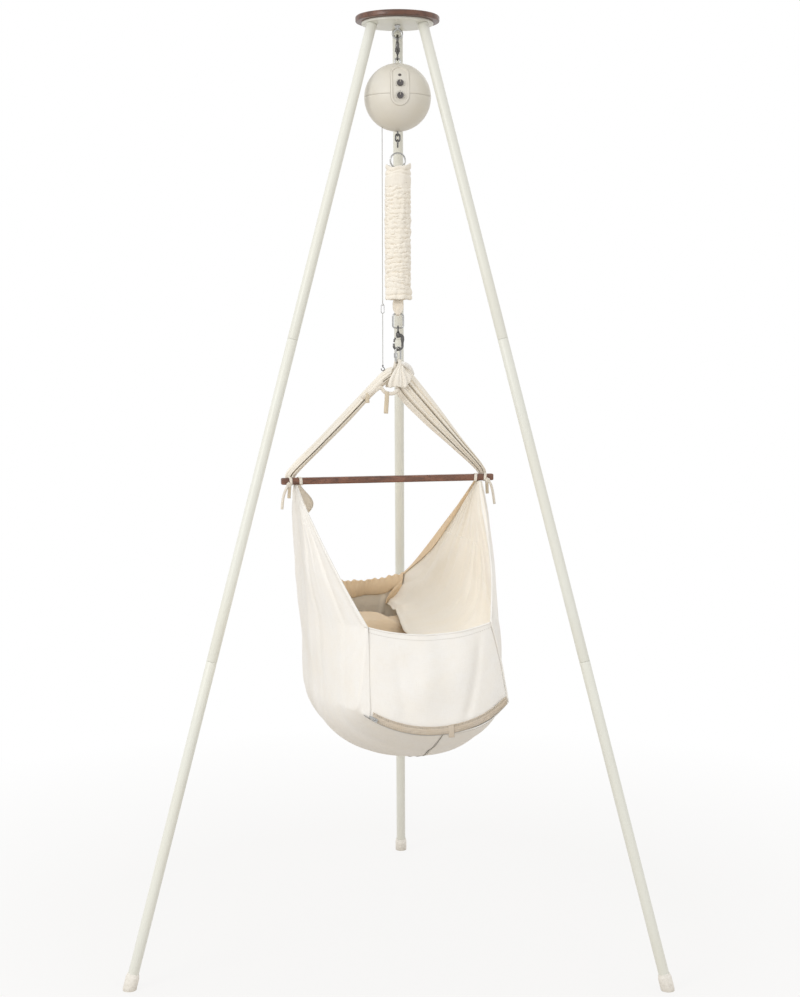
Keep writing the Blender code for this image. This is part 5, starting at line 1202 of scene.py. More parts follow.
def make_lower_hook():
    """The swivel snap hook with its gate, and the oval quick link with its nut."""
    ring_z = D_FOOT_Z + 0.00375 - SWIVEL_RADIUS
    boss_top, boss, hook_foot = ring_z - SWIVEL_RADIUS - 0.0035, 0.0085, 1.296
    body, half, bow = snap_hook(0.024, boss_top - hook_foot, 0.0052, boss_top, boss, 0.0050, STEM + 0.0003)
    kept("lower_snap_hook", body, "gunmetal", "hammock_hook", nodes=["lower_hook"], sharp=40)
    low = boss_top - boss
    eye = swivel_ring(ring_z)
    stem = lifted(low, (0, -0.0022), (STEM + 0.0006, -0.0021), (STEM + 0.0010, -0.0016),
                  (STEM + 0.0010, -0.0003), (STEM, -0.0003))
    stem += lifted(boss_top, (STEM, 0.0003), (STEM + 0.0012, 0.0010), (STEM + 0.0010, 0.0018))
    spun(stem + lifted(ring_z, (0.0016, -0.0052), (0, -0.0048)), 36, eye)
    kept("lower_swivel_eye", eye, "gunmetal", "spring_end", nodes=["hook_swivel"], sharp=40)
    gate_top = Vector((-half * 0.62, 0, low - 0.0014))
    gate_foot = Vector((-half * 0.98, 0, bow + half * 0.45 + 0.0029))
    gate = rod(smoothed([gate_top, gate_top.lerp(gate_foot, 0.5), gate_foot], 6), 0.00364, sides=5)
    thumb = gate_top.lerp(gate_foot, 0.45) - Vector((0.0017, 0, 0))
    rivet(gate, 0.0011, 0.0010, 0.0013, 20, Matrix.Translation(thumb) @ Matrix.Rotation(pi / 2, 4, "Y"))
    kept("lower_hook_gate", gate, "gunmetal", "hammock_gate", nodes=["lower_gate"], sharp=40)
    turned = UPRIGHT @ Matrix.Rotation(radians(LINK_TURN), 4, "Z")
    bend, straight, centre = 0.008, 0.009, LINK_CENTRE_Z
    side = -bend
    route = [Vector((side, 0, centre + 0.001))] + arc((0, 0, centre + straight), bend, 180, 0, 26)
    route += arc((0, 0, centre - straight), bend, 0, -180, 26) + [Vector((side, 0, centre - 0.004))]
    oval = rod(route, 0.004, sides=7)
    kept("oval_quick_link", oval, "chrome", "hammock_hook", turned, ["quick_link"], 50)
    nut = bmesh.new()
    bmesh.ops.create_circle(nut, cap_ends=True, segments=6, radius=0.0043)
    raised(nut, 0.010)
    rounded(nut, 0.0004, 2)
    bmesh.ops.translate(nut, vec=(side, 0, centre - 0.0055), verts=nut.verts)
    bore = spun(lifted(centre, (0, -0.009), (0.0023, -0.009), (0.0023, 0.009), (0, 0.009)), 28,
                place=Matrix.Translation((side, 0, 0)))
    kept("hexagon_nut", cut_with(nut, [bore]), "chrome", "nut", turned, ["link_nut"], 25)


# Hammock
def zip_point(across):
    """A point of the zip line at a share of its half width: x, reach and height."""
    width, reach, height = ZIP_END
    depth = hypot(ZIP_BOW, ZIP_DROP)
    radius = (width ** 2 + depth ** 2) / (2 * depth)
    share = (sqrt(radius ** 2 - (width * across) ** 2) - radius + depth) / depth
    return width * across, reach + ZIP_BOW * share, height - ZIP_DROP * share


def wall_middle(v):
    """The cloth's section under the bar's end, from the tie at 0 to the keel at 1: x and height."""
    x_foot, z_foot = WALL_FOOT
    if v < V_ZIP:
        share = v / V_ZIP
        return mix(TIE_SPREAD / 2, x_foot, share), mix(TIE_TOP, z_foot, share)
    angle = (v - V_ZIP) / (1 - V_ZIP) * pi / 2
    return x_foot * cos(angle), z_foot - (z_foot - KEEL_Z) * sin(angle)


def wall_edge(v):
    """The cloth's end edge: from the tie to the panel's corner, down its seam and along the zip."""
    tie = (TIE_SPREAD / 2, BUNCH, TIE_TOP)
    if v < V_CORNER:
        share = v / V_CORNER
        bow = 4 * share * (1 - share)
        x, y, z = (mix(a, b, share) for a, b in zip(tie, CORNER))
        return x + 0.008 * bow, y + 0.020 * bow, z - 0.003 * bow
    if v < V_ZIP:
        share = (v - V_CORNER) / (V_ZIP - V_CORNER)
        return tuple(mix(a, b, share) for a, b in zip(CORNER, ZIP_END))
    return zip_point(cos((v - V_ZIP) / (1 - V_ZIP) * pi / 2))


def wall_point(u, v):
    """A point of the smooth cloth. u runs from one end of the cradle at -1 to the other at 1."""
    x_middle, z_middle = wall_middle(v)
    x_edge, reach, z_edge = wall_edge(v)
    share = abs(u)
    return Vector((mix(x_middle, x_edge, share ** 2.0), -reach * u, mix(z_middle, z_edge, share ** 2.2)))


def wall_normal(u, v):
    """The direction out of the cloth."""
    step = 0.01
    along = wall_point(min(u + step, 1), v) - wall_point(max(u - step, -1), v)
    down = wall_point(u, min(v + step, 1)) - wall_point(u, max(v - step, 0))
    normal = down.cross(along)
    if normal.length < 1e-9:
        return Vector((1, 0, 0))
    return -normal.normalized() if normal.dot(Vector((1, 0, -0.4))) < 0 else normal.normalized()


def settled(point):
    """Draws in the low rear end of the cradle and lets its front out to the right, as a load does."""
    low = ease((0.82 - point.z) / 0.16)
    rear = ease((point.y - 0.04) / 0.28) * ease((0.80 - point.z) / 0.12)
    front = ease((-point.y - 0.10) / 0.25) * low * ease(point.x / 0.10)
    back = 0.038 * point.x * front - 0.014 * rear
    return Vector((point.x * (1 - 0.19 * rear) + 0.011 * front, point.y + back, point.z))


def groove(phase, sharp):
    """A row of narrow grooves, one at each whole turn of the phase."""
    return exp(-(sin(phase / 2) / sharp) ** 2)


def pinch(phase, sharp):
    """A row of folds: broad ridges with a narrow valley at each whole turn of the phase."""
    return 0.32 - 1.32 * groove(phase, sharp)


def gathers(u, v, side, depth):
    """How far the cloth's folds stand out: pleats that fade down from the tie, and soft slack below."""
    fade = max(0.0, 1 - v / 0.66) ** 0.7
    rise = min(1.0, 0.35 + v / 0.14)
    edge = 1 - u ** 4 * min(1.0, v / 0.3)
    drift = u + 0.030 * sin(9 * v + side) + 0.05 * ripple(2 * u, 3 * v, side * 4)
    nearer = 0.35 + 0.65 * ease((u + 0.2) / 0.6)
    deep = 0.30 * cos(19 * pi * drift + side) * max(0.0, 1 - v / 0.26)
    shorter = max(0.0, 1 - v / 0.52) ** 0.7
    if side > 0:
        inner = 3.5 * groove(5 * pi * drift + 0.6, 0.27) - 1.5
        pleats = (inner + (2.1 * groove(11 * pi * drift + 1.3, 0.36) - 0.8) * shorter) * nearer + deep
    else:
        pleats = 0.58 * pinch(5 * pi * drift + 0.6, 0.22) * nearer
        pleats += 0.40 * pinch(11 * pi * drift - 1.3, 0.36) * nearer * shorter + 0.7 * deep
    pleats *= depth * fade * rise * edge
    reach = 1 - u ** 6
    slack = 0.0028 * ripple(3.2 * u + side, 5.5 * v, 3 * side) * ease(v / 0.25) * reach
    crease = 0.0018 * ripple(9 * u, 3 * v - 2 * u, 8 + side) * ease((v - 0.1) / 0.3) * reach
    swell = 0
    if side > 0:
        swell = 0.014 * exp(-((u - 0.74) / 0.17) ** 2) * sin(pi * ease((v - 0.10) / 0.62))
    return pleats + slack + crease + swell * reach


def sling_point(side, u, v, lift=0.0):
    """A point of one half of the cloth with its folds; side is 1 on the right and -1 on the left."""
    point = wall_point(u, v) + wall_normal(u, v) * (gathers(u, v, side, chosen().gather) + lift)
    point = settled(Vector((side * max(point.x, 0.0004), point.y, point.z)))
    point.x += keel_shift(u, v)
    return point


def keel_shift(u, v):
    """How far the seam along the keel has slipped to the right."""
    return 0.016 * ease((v - 0.72) / 0.22) * ease((u + 0.3) / 0.9)


def flap_across(column, share):
    """How far across the front the left cloth reaches, from its corner at share 0 to the zip at 1."""
    return -(1 - (1 - cos(column / FOOT_ROWS * pi / 2)) * share ** 0.75)


def flap_point(column, share, lift=0.003):
    """A point of the left cloth where it turns onto the front of the cradle."""
    across = flap_across(column, share)
    _, foot, height = zip_point(across)
    width = mix(CORNER[0], ZIP_END[0], share)
    reach = mix(CORNER[1] + PANEL_BOW * (1 - across ** 2), foot, share)
    z = mix(CORNER[2] - PANEL_SAG * (1 - across ** 2), height, share)
    out = lift * min(1.0, column / 4) * min(1.0, (1 - share) * 9)
    return settled(Vector((width * across, -reach - out, z)))


def left_flap(cloth):
    """Adds the turned front to the left half of the cloth and rounds the corner between them."""
    flap = skin(FLAP_COLUMNS, SIDE_ROWS, lambda u, v: flap_point(round(u * FLAP_COLUMNS), v), (0.05, 0.17))
    joined(cloth, flap)
    bmesh.ops.remove_doubles(cloth, verts=cloth.verts, dist=6e-5)
    facing_out(cloth)
    seam = [sling_point(-1, 1, mix(V_CORNER, 1, k / 60)) for k in range(0, 36)]
    near = []
    for vert in cloth.verts:
        if not vert.is_boundary and vert.co.y < -0.25 and vert.co.x < -0.05:
            if min((vert.co - point).length for point in seam) < 0.034:
                near.append(vert)
    for _ in range(45):
        bmesh.ops.smooth_vert(cloth, verts=near, factor=0.5, use_axis_x=True, use_axis_y=True,
                              use_axis_z=True)
    return cloth


def down_sling(side, u, start, stop, steps, lift):
    """Points down the cloth at one place along it, from v at start to v at stop."""
    return [sling_point(side, u, mix(start, stop, i / steps), lift) for i in range(steps + 1)]


def make_slings():
    """The two halves of the cradle's cloth, their hems, and the seams along the keel and the panels."""
    for name, side in (("right", 1), ("left", -1)):
        columns = 300 if side > 0 else 200

        def at(u, v, side=side):
            return sling_point(side, side * (2 * u - 1), v)

        cloth = skin(columns, SLING_ROWS, at, (0.80, 0.70))
        if side < 0:
            cloth = left_flap(cloth)
        # Its inside faces take the warmer cotton that stands for painted shade.
        piece = sewn("cradle_cloth_" + name, cloth, ["cotton", "inner cotton"], ["sling_" + name])
        face_away(piece, HANGING.to_3x3() @ Vector((side, 0, -0.4)))
        thickened(piece, CLOTH, -1, 1)
        make_hems(name, side)
    seamed_ends = ((1, 1), (1, -1), (-1, -1))
    seams = bmesh.new()
    for side, end in seamed_ends:
        joined(seams, rod(down_sling(side, end, V_CORNER - 0.01, 1, 70, 0.0002), 0.0024, sides=3))
    joined(seams, rod(down_sling(-1, 1, V_ZIP + 0.133, 1, 40, 0.0002), 0.0024, sides=3))
    sewn("piped_seams", seams, "cotton")
    keel = [sling_point(1, mix(-1, 1, i / 120), 1, 0.0006) for i in range(121)]
    sewn("keel_seam", joined(bmesh.new(), rod(keel, 0.0011, sides=3)), "seam thread")
    rows = [down_sling(side, end * 0.966, 0.03, V_CORNER - 0.01, 60, 0.0004)
            for side in (1, -1) for end in (1, -1)]
    rows += [down_sling(side, end * 0.980, V_CORNER, 0.985, 80, 0.0002) for side, end in seamed_ends]
    sewn("cradle_stitches", stitches(rows, chosen().stitch), "thread")


def make_hems(name, side):
    """The turned edges of the cloth from the tie to the panels, the rear ones with a facing."""

    def front(u, v):
        return sling_point(side, 0.958 + 0.043 * u, v * V_CORNER, -CLOTH / 2)

    def rear(u, v):
        narrow = ease((1 - v) / 0.45)
        inner = mix(0.985, 0.875, narrow)
        roll = 0.002
        if side < 0:
            roll = exp(-((v - 0.19) / 0.16) ** 2) * ((1 - u) * 0.040 + 0.006 * sin(TAU * 1.5 * u))
        return sling_point(side, -mix(inner, 1.001, u), v * V_CORNER, -CLOTH - 0.0010 - roll)

    border = sewn("front_hem_" + name, skin(6, 80, front, (0.016, 0.35)), "cotton")
    thickened(border, CLOTH + 0.0012, 0)
    look = "lining" if side > 0 else "cotton"
    facing = sewn("rear_facing_" + name, skin(12, 110, rear, (0.035, 0.35)), look)
    thickened(facing, 0.0012, 0)
    edge = down_sling(side, -1, 0.02, V_CORNER, 60, -CLOTH / 2)
    sewn("rear_edge_" + name, rod(edge, 0.0034, sides=3), "lining")


def make_corner_tuck():
    """The loose cloth tucked over the rear panel's right corner."""

    def at(u, v):
        left = mix(0.965, 0.66, ease(v / 0.9))
        t = mix(0.015, 0.40, v) - 0.05 * (1 - u) * v
        lift = 0.0045 + 0.0012 * cos(9 * v + 5 * u)
        lift += 0.010 * sin(pi * 0.5 * v) * (1 - u) ** 1.5
        return panel_surface(mix(left, 0.985, u), t, -1, -CLOTH - lift)

    tuck = sewn("corner_tuck", skin(24, 30, at, (0.06, 0.07)), "lining")
    thickened(tuck, 0.0014, 0)


def panel_point(x, t):
    """A point of an end panel: x from -1 to 1 across it, t from its top edge to the zip."""
    width = mix(CORNER[0], ZIP_END[0], t) - CLOTH - 0.0006
    foot = zip_point(x)
    reach = mix(CORNER[1] + PANEL_BOW * (1 - x ** 2), foot[1], t)
    height = mix(CORNER[2] - PANEL_SAG * (1 - x ** 2), foot[2] + 0.0032, t)
    return Vector((width * x, -reach, height))


def panel_surface(x, t, end, lift=0.0):
    """The panel's cloth, softly pulled towards its corners. end is 1 at the front and -1 at the rear."""
    point = panel_point(x, t)
    side = 1 - x ** 4
    pull = 0.0030 * ripple(2.2 * x + 1.4 * t, 1.6 * t - 1.2 * x, 3 + end)
    crease = -0.0040 * exp(-((x - 0.80 + 0.42 * t) / 0.06) ** 2) * ease(t * 3) * ease((1 - t) * 5)
    crease += -0.0024 * exp(-((x + 0.62 - 0.25 * t) / 0.08) ** 2) * ease(t * 2) * ease((1 - t) * 4)
    edge = 0.0012 * cos(11 * x + 2) * max(0.0, 1 - t * 6)
    bulge = 0.006 * sin(pi * min(1.0, t * 1.02)) * side
    point.y -= (pull + crease + edge) * side + bulge + lift
    return settled(Vector((point.x, end * point.y, point.z)))


def make_panels():
    """The end panels with their rolled top edges, and the gathered band on the rear one."""
    for name, end in (("front", 1), ("rear", -1)):

        def at(u, v, end=end):
            left = max(-1.0, flap_across(FLAP_COLUMNS, v) - 0.055) if end > 0 else -1.0
            return panel_surface(mix(left, 1, u), v, end)

        cloth = skin(110, 70, at, (0.29, 0.22))
        facing_out(cloth)
        piece = sewn(name + "_panel", cloth, ["cotton", "inner cotton"], ["end_panel_" + name])
        face_away(piece, HANGING.to_3x3() @ Vector((0, -end, 0)))
        thickened(piece, CLOTH, -1, 1)
        roll = [panel_surface(2 * i / 110 - 1, 0.004, end, -CLOTH / 2) for i in range(111)]
        sewn(name + "_panel_edge", rod(roll, 0.0042, sides=4), "cotton")
    row = [panel_surface(2 * i / 90 - 1, 0.055, 1, 0.0003) for i in range(91)]

    def band(u, v):
        x = 2 * u - 1
        point = panel_surface(x * 0.99, 0.19 * v, -1, -CLOTH - 0.0012)
        frill = max(0.0, 1 - v / 0.22)
        ruffle = 0.0009 * cos(38 * x + 2 * sin(5 * x))
        ruffle += 0.0022 * frill * cos(57 * x + 3 * sin(4 * x))
        point.y -= 0.0022 + 0.0030 * sin(pi * v) + ruffle
        point.z += 0.004 * (1 - v) + (0.0016 * cos(43 * x + 1) + 0.0012 * cos(17 * x)) * frill
        point.z -= 0.0022 * cos(9 * x + 1) * v
        return point

    gathered = sewn("elastic_band", skin(260, 14, band, (0.30, 0.034)), "lining")
    thickened(gathered, 0.0014, 0)
    sewn("panel_stitches", stitches([row], chosen().stitch), "thread")
    make_corner_tuck()


def face_away(piece, outward):
    """Turns the sheet's faces so that its first finish looks along outward."""
    made = bmesh.new()
    made.from_mesh(piece.data)
    total = sum((face.normal * face.calc_area() for face in made.faces), Vector())
    if total.dot(outward) < 0:
        bmesh.ops.reverse_faces(made, faces=made.faces)
    made.to_mesh(piece.data)
    made.free()


def zip_band_point(across, height, lift):
    """A point of the zip's band: across from -1 to 1, height above the zip line."""
    foot = panel_point(across, 1)
    rise = panel_point(across, 0).z - foot.z
    point = panel_point(across, 1 - max(0.0, height) / rise)
    return settled(Vector((point.x, point.y - lift - 0.0022 * max(0.0, across) ** 6, foot.z + height)))


def make_zip():
    """The zip's tape under its flap, the teeth, the slider with its pull, and the small cloth tab."""
    heights = [-0.004 + 0.0155 * i / 10 for i in range(11)]

    def along(u):
        return mix(-0.825, 0.985, u)

    def at(u, v):
        height = heights[round(v * 10)]
        roll = 0.0004 * sin(pi * v) + 0.0005 * sin(TAU * 2 * v)
        roll += 0.0006 * ripple(34 * u, 3 * v, 5)
        return zip_band_point(along(u), height, 0.0040 + roll)

    tape = sewn("zip_band", skin(170, 10, at, (0.29, 0.016)), "zip tape", ["zip_tape"])
    face_away(tape, HANGING.to_3x3() @ Vector((0, -1, 0)))
    thickened(tape, 0.0018, 0)
    rows = [[zip_band_point(along(i / 130), height, 0.0056) for i in range(131)]
            for height in (-0.0024, 0.0002, 0.0080, 0.0100)]
    sewn("zip_stitches", stitches(rows, chosen().stitch * 0.8), "dark thread")
    teeth, count = bmesh.new(), 150
    for i in range(count):
        spot = zip_band_point(mix(-0.93, 0.95, i / (count - 1)), -0.0048, 0.0030)
        place = Matrix.Translation(spot) @ Matrix.Diagonal((0.0010, 0.0014, 0.0022, 1))
        bmesh.ops.create_cube(teeth, size=1, matrix=place)
    sewn("zip_teeth", teeth, "spring steel")
    make_slider()
    tab_at = 0.20
    start = zip_band_point(tab_at, 0.0112, 0.0060)
    stop = zip_band_point(tab_at, -0.0125, 0.0050)
    middle = start.lerp(stop, 0.5) - Vector((0, 0.0012, 0))
    tab = ribbon([start, middle, stop], 0.0115, Vector((0, -1, 0)), 0.0)
    piece = sewn("cloth_tab", tab, "zip tape")
    thickened(piece, 0.0014, 0)


def make_slider():
    """The slider that runs on the zip's arc, with a leaf pull."""
    depth = hypot(ZIP_BOW, ZIP_DROP)
    radius = (ZIP_END[0] ** 2 + depth ** 2) / (2 * depth)
    behind = (radius - depth) / depth
    middle = Vector((0, -ZIP_END[1] + ZIP_BOW * behind, ZIP_END[2] + ZIP_DROP * behind))
    axis = Vector((0, ZIP_DROP, -ZIP_BOW)) / depth
    x, reach, z = zip_point(SLIDER_AT)
    outward = (Vector((x, -reach, z)) - middle).normalized()
    along = outward.cross(axis)
    place = Matrix.Translation(middle + outward * radius)
    place = place @ Matrix((along, -axis, outward)).transposed().to_4x4()
    body = block(bmesh.new(), (-0.0048, 0.0058, -0.0030), (0.0048, 0.0088, 0.0040), 0.0008, 3)
    joined(body, rod(arc((0, 0.0088, 0.0005), 0.0018, 0, 180, 14, "xy"), 0.0012, sides=4))
    pull = block(bmesh.new(), (-0.0140, 0.0096, -0.0020), (-0.0005, 0.0107, 0.0028), 0.0005, 2)
    joined(body, pull)
    kept("slider_with_pull", body, "chrome", "slider", HANGING @ place, ["zip_slider"], 40)


def ribbon(points, width, face, wobble=0.0006, steps=8):
    """A flat tape along points, its face towards a direction."""
    route = smoothed(points, steps)
    last = len(route) - 1

    def at(u, v):
        i = round(v * last)
        ahead = route[min(i + 1, last)] - route[max(i - 1, 0)]
        across = ahead.cross(face).normalized()
        curl = face * (wobble * cos(TAU * (u - 0.5)) + wobble * sin(7 * v))
        return route[i] + across * ((u - 0.5) * width) + curl

    length = sum((b - a).length for a, b in zip(route, route[1:]))
    return skin(6, last, at, (width, length))


# The rails of each strap as x and height, and its valleys as place, width, depth and drift.
STRAPS = {
    "right": {
        "outer": [(0.214, 1.012), (0.2215, 1.037), (0.164, 1.108), (0.106, 1.184), (0.047, 1.2555),
                  (0.032, 1.264)],
        "inner": [(0.197, 1.012), (0.203, 1.0305), (0.141, 1.087), (0.078, 1.142), (0.022, 1.200),
                  (0.020, 1.236)],
        "valleys": [(0.20, 0.040, 0.0060, 0.15), (0.40, 0.034, 0.0130, 0.0), (0.60, 0.05, 0.0045, -0.1),
                    (0.77, 0.034, 0.0110, 0.0)],
    },
    "left": {
        "outer": [(-0.214, 1.012), (-0.2205, 1.040), (-0.150, 1.113), (-0.080, 1.184), (-0.0136, 1.2508),
                  (0.008, 1.262)],
        "inner": [(-0.197, 1.012), (-0.200, 1.031), (-0.146, 1.087), (-0.090, 1.141), (-0.0336, 1.2000),
                  (0.004, 1.232)],
        "valleys": [(0.60, 0.040, 0.0150, 0.10), (0.24, 0.10, 0.0022, 0.0), (0.84, 0.05, 0.0050, 0.0)],
    },
}


def strap_rail(points):
    """One edge of a strap as a smooth row of places."""
    return smoothed([Vector((x, 0, z)) for x, z in points], 20)


def make_straps():
    """The gathered cloth above the bar, with a few long deep folds in each half."""
    for name, strap in STRAPS.items():
        outer, inner = strap_rail(strap["outer"]), strap_rail(strap["inner"])
        last = len(outer) - 1

        def at(u, v, outer=outer, inner=inner, valleys=strap["valleys"]):
            i = round(v * last)
            point = outer[i].lerp(inner[i], u)
            open_out = mix(0.42, 1.0, ease((v - 0.10) / 0.22)) * mix(1.0, 0.6, ease((v - 0.86) / 0.14))
            share = 2 * u - 1
            depth = -0.0065 * (1 - share ** 2) + 0.0055 * share ** 6
            for place, width, deep, drift in valleys:
                here = place + drift * (v - 0.5)
                width = mix(0.12, width, ease(v / 0.3))
                depth += deep * exp(-((u - here) / width) ** 2) * (0.55 + 0.45 * sin(pi * v))
            depth += 0.0007 * cos(31 * u + 3 * v) + 0.0012 * ripple(5 * u, 6 * v, 2)
            point.y = mix(0.0126, -0.001, ease((v - 0.12) / 0.30)) + depth * open_out
            return point

        cloth = skin(150, last, at, (0.05, 0.33))
        piece = sewn("strap_cloth_" + name, cloth, ["strap cotton"], ["strap_" + name])
        face_away(piece, HANGING.to_3x3() @ Vector((0, -1, 0)))
        thickened(piece, 0.0012, -1)
    make_apex()
    make_apex_ties()


def make_apex():
    """The cloth that hangs over the quick link's lower bar, its folds radiating from it."""
    radius, foot = 0.0060, APEX_Z - 0.052
    fall = [(0.0125, foot), (0.0130, foot + 0.018), (0.0105, foot + 0.036), (0.0068, APEX_Z - 0.006)]
    route = [Vector((0, y, z)) for y, z in fall] + arc((0, 0, APEX_Z), radius, 10, 170, 12, "yz")
    route += [Vector((0, -y, z)) for y, z in reversed(fall)]
    line = smoothed(route, 5)
    last = len(line) - 1

    def at(u, v):
        i = round(v * last)
        drop = (APEX_Z + radius - line[i].z) / 0.058
        ahead = (line[min(i + 1, last)] - line[max(i - 1, 0)]).normalized()
        out = Vector((1, 0, 0)).cross(ahead)
        turn = u * TAU
        wide = mix(0.0056, 0.0265, ease(drop * 1.05)) * (1 + 0.04 * cos(3 * turn))
        deep = mix(0.0030, 0.0042, drop)
        across = cos(turn)
        folds = pinch(9 * across + 1.2, 0.45) + 0.5 * cos(16 * across + 2 * drop)
        folds *= mix(0.0005, 0.0030, drop)
        hem = 0.0022 * cos(5 * across + 1) * ease((drop - 0.8) / 0.2)
        point = line[i] + Vector((1, 0, 0)) * (wide * across) + out * (deep * sin(turn) + folds)
        point.z += hem + (0.009 + 0.007 * across) * across ** 2 * ease((drop - 0.35) / 0.6)
        facing = radians(mix(LINK_TURN, BAR_TURN, ease(drop / 0.45)))
        return Matrix.Rotation(facing, 4, "Z") @ point

    fan = skin(150, last, at, (0.10, 0.13), True)
    facing_out(fan)
    piece = kept("apex_bunch", fan, ["strap cotton"], "hammock", UPRIGHT, ["apex_loop"], 0)
    thickened(piece, 0.0012, -1)


def make_apex_ties():
    """The ribbon that draws the fan in, its tab and hanging end, and the roll of cloth beside the link."""
    towards = Vector((0, -1, 0))
    across = [(-0.060, -0.010, 1.196), (-0.048, -0.020, 1.2035), (-0.034, -0.023, 1.212),
              (-0.022, -0.022, 1.2185), (-0.012, -0.021, 1.209), (0.004, -0.021, 1.2055),
              (0.018, -0.018, 1.213)]
    up = [(-0.050, -0.019, 1.206), (-0.040, -0.024, 1.2105), (-0.028, -0.023, 1.2225),
          (-0.016, -0.018, 1.232)]
    tie = joined(ribbon(across, 0.0078, towards), ribbon(up, 0.0065, towards))
    thickened(sewn("strap_tie", tie, "ribbon"), 0.0010, 0)
    tab = [(-0.049, -0.020, 1.207), (-0.0505, -0.0215, 1.198), (-0.0500, -0.020, 1.186)]
    end = [(-0.008, -0.0215, 1.210), (-0.0085, -0.0225, 1.190), (-0.0100, -0.0205, 1.163)]
    tails = joined(ribbon(tab, 0.0085, towards), ribbon(end, 0.0095, towards, 0.0008))
    thickened(sewn("hanging_ribbon", tails, "tan ribbon"), 0.0010, 0)
    roll = [(0.024, -0.004, 1.2700), (0.036, -0.002, 1.2675), (0.048, 0.002, 1.2590), (0.056, 0.006, 1.2450)]

    def plumpness(share):
        return 0.5 + 0.5 * sin(pi * min(1.0, 0.15 + 0.7 * share))

    sewn("cloth_roll", rod(smoothed(roll, 6), 0.0110, sides=5, taper=plumpness), "cotton")


def make_bar():
    """The square walnut spreader bar with rounded edges and domed ends."""
    half, size = BAR_LENGTH / 2, BAR_SIZE / 2
    bar = block(bmesh.new(), (-half, -size, BAR_Z - size), (half, size, BAR_Z + size))
    rounded(bar, 0.0032, 5)
    sewn("spreader_stick", bar, "bar walnut", ["spreader_bar"], 50)


def bar_turns(x, lean, turns=1.0):
    """A tape's path round the square bar, leaning along it."""
    half, soft = BAR_SIZE / 2 + 0.0009, 0.0036
    loop = []
    for sy, sz, start in ((-1, -1, 270), (-1, 1, 180), (1, 1, 90), (1, -1, 0)):
        for k in range(5):
            angle = radians(start - 22.5 * k)
            loop.append((sy * (half - soft) + soft * cos(angle),
                         BAR_Z + sz * (half - soft) + soft * sin(angle)))
    count = round(len(loop) * turns)
    return [Vector((x + lean * i / count, *loop[i % len(loop)])) for i in range(count + 1)]


def wound(points, width):
    """A tape wound on the bar: its width lies along the bar."""
    last = len(points) - 1

    def at(u, v):
        return points[round(v * last)] + Vector(((u - 0.5) * width, 0, 0))

    length = sum((b - a).length for a, b in zip(points, points[1:]))
    return skin(5, last, at, (width, length))


def make_ties():
    """The ribbons that lash the cloth's necks to the bar: windings, a gathered collar, a knot and tails."""
    for name, sign in (("right", 1), ("left", -1)):
        x = sign * TIE_SPREAD / 2
        tape = wound(bar_turns(x - sign * 0.0135, sign * 0.0085), 0.0064)
        joined(tape, wound(bar_turns(x + sign * 0.0085, sign * 0.0070), 0.0060))
        near, back = BAR_SIZE / 2 + 0.0010, BAR_SIZE / 2 + 0.0118
        for z, drop in ((BAR_Z + 0.001, -0.002), (BAR_Z - 0.0045, 0.002)):
            run = [(x - 0.0135, near, z), (x - 0.0120, back - 0.002, z), (x, back, z + drop),
                   (x + 0.0120, back - 0.002, z), (x + 0.0135, near, z)]
            joined(tape, collar(run, 0.0052))
        bind = sewn("tie_" + name, tape, "ribbon", ["bar_tie_" + name])
        thickened(bind, 0.0010, 0)
        knot_x = x + sign * 0.0150
        front = Vector((knot_x, -BAR_SIZE / 2 - 0.0042, BAR_Z - BAR_SIZE / 2 + 0.0005))
        knot = bmesh.new()
        for k, (spin_by, tilt) in enumerate(((0.5, 0.9), (1.9, -0.6), (2.9, 0.2))):
            loop = [front + Vector((0.0042 * cos(a) * cos(spin_by), 0.0016 * sin(2 * a + tilt) - 0.0006 * k,
                                    0.0030 * sin(a) + 0.0042 * cos(a) * sin(spin_by)))
                    for a in (TAU * i / 28 for i in range(28))]
            joined(knot, rod(loop, 0.0030, True, 3))
        sewn("knot_" + name, knot, "ribbon")
        cascade(name, sign, front)


def collar(points, height):
    """A tape that passes behind the cloth's neck, its width upright."""
    route = smoothed(points, 6)
    last = len(route) - 1

    def at(u, v):
        return route[round(v * last)] + Vector((0, 0, (u - 0.5) * height))

    return skin(5, last, at, (height, 0.05))


def cascade(name, sign, front):
    """The ends of the ribbon that hang from its knot."""
    long_fall = [(0, 0, 0), (sign * 0.006, -0.002, -0.008), (sign * 0.012, -0.001, -0.026),
                 (sign * 0.0155, 0, -0.052)]
    short_fall = [(-sign * 0.002, 0.002, -0.002), (-sign * 0.001, 0.002, -0.014), (0, 0.003, -0.029)]
    for kind, fall, look, width, turn in (("ribbon", long_fall, "ribbon", 0.0058, 0.15),
                                          ("short", short_fall, "tan ribbon", 0.0066, -0.2)):
        points = [front + Vector(step) for step in fall]
        tape = ribbon(points, width, Vector((turn, -1, 0)).normalized(), 0.001)
        thickened(sewn("%s_end_%s" % (kind, name), tape, look), 0.0009, 0)


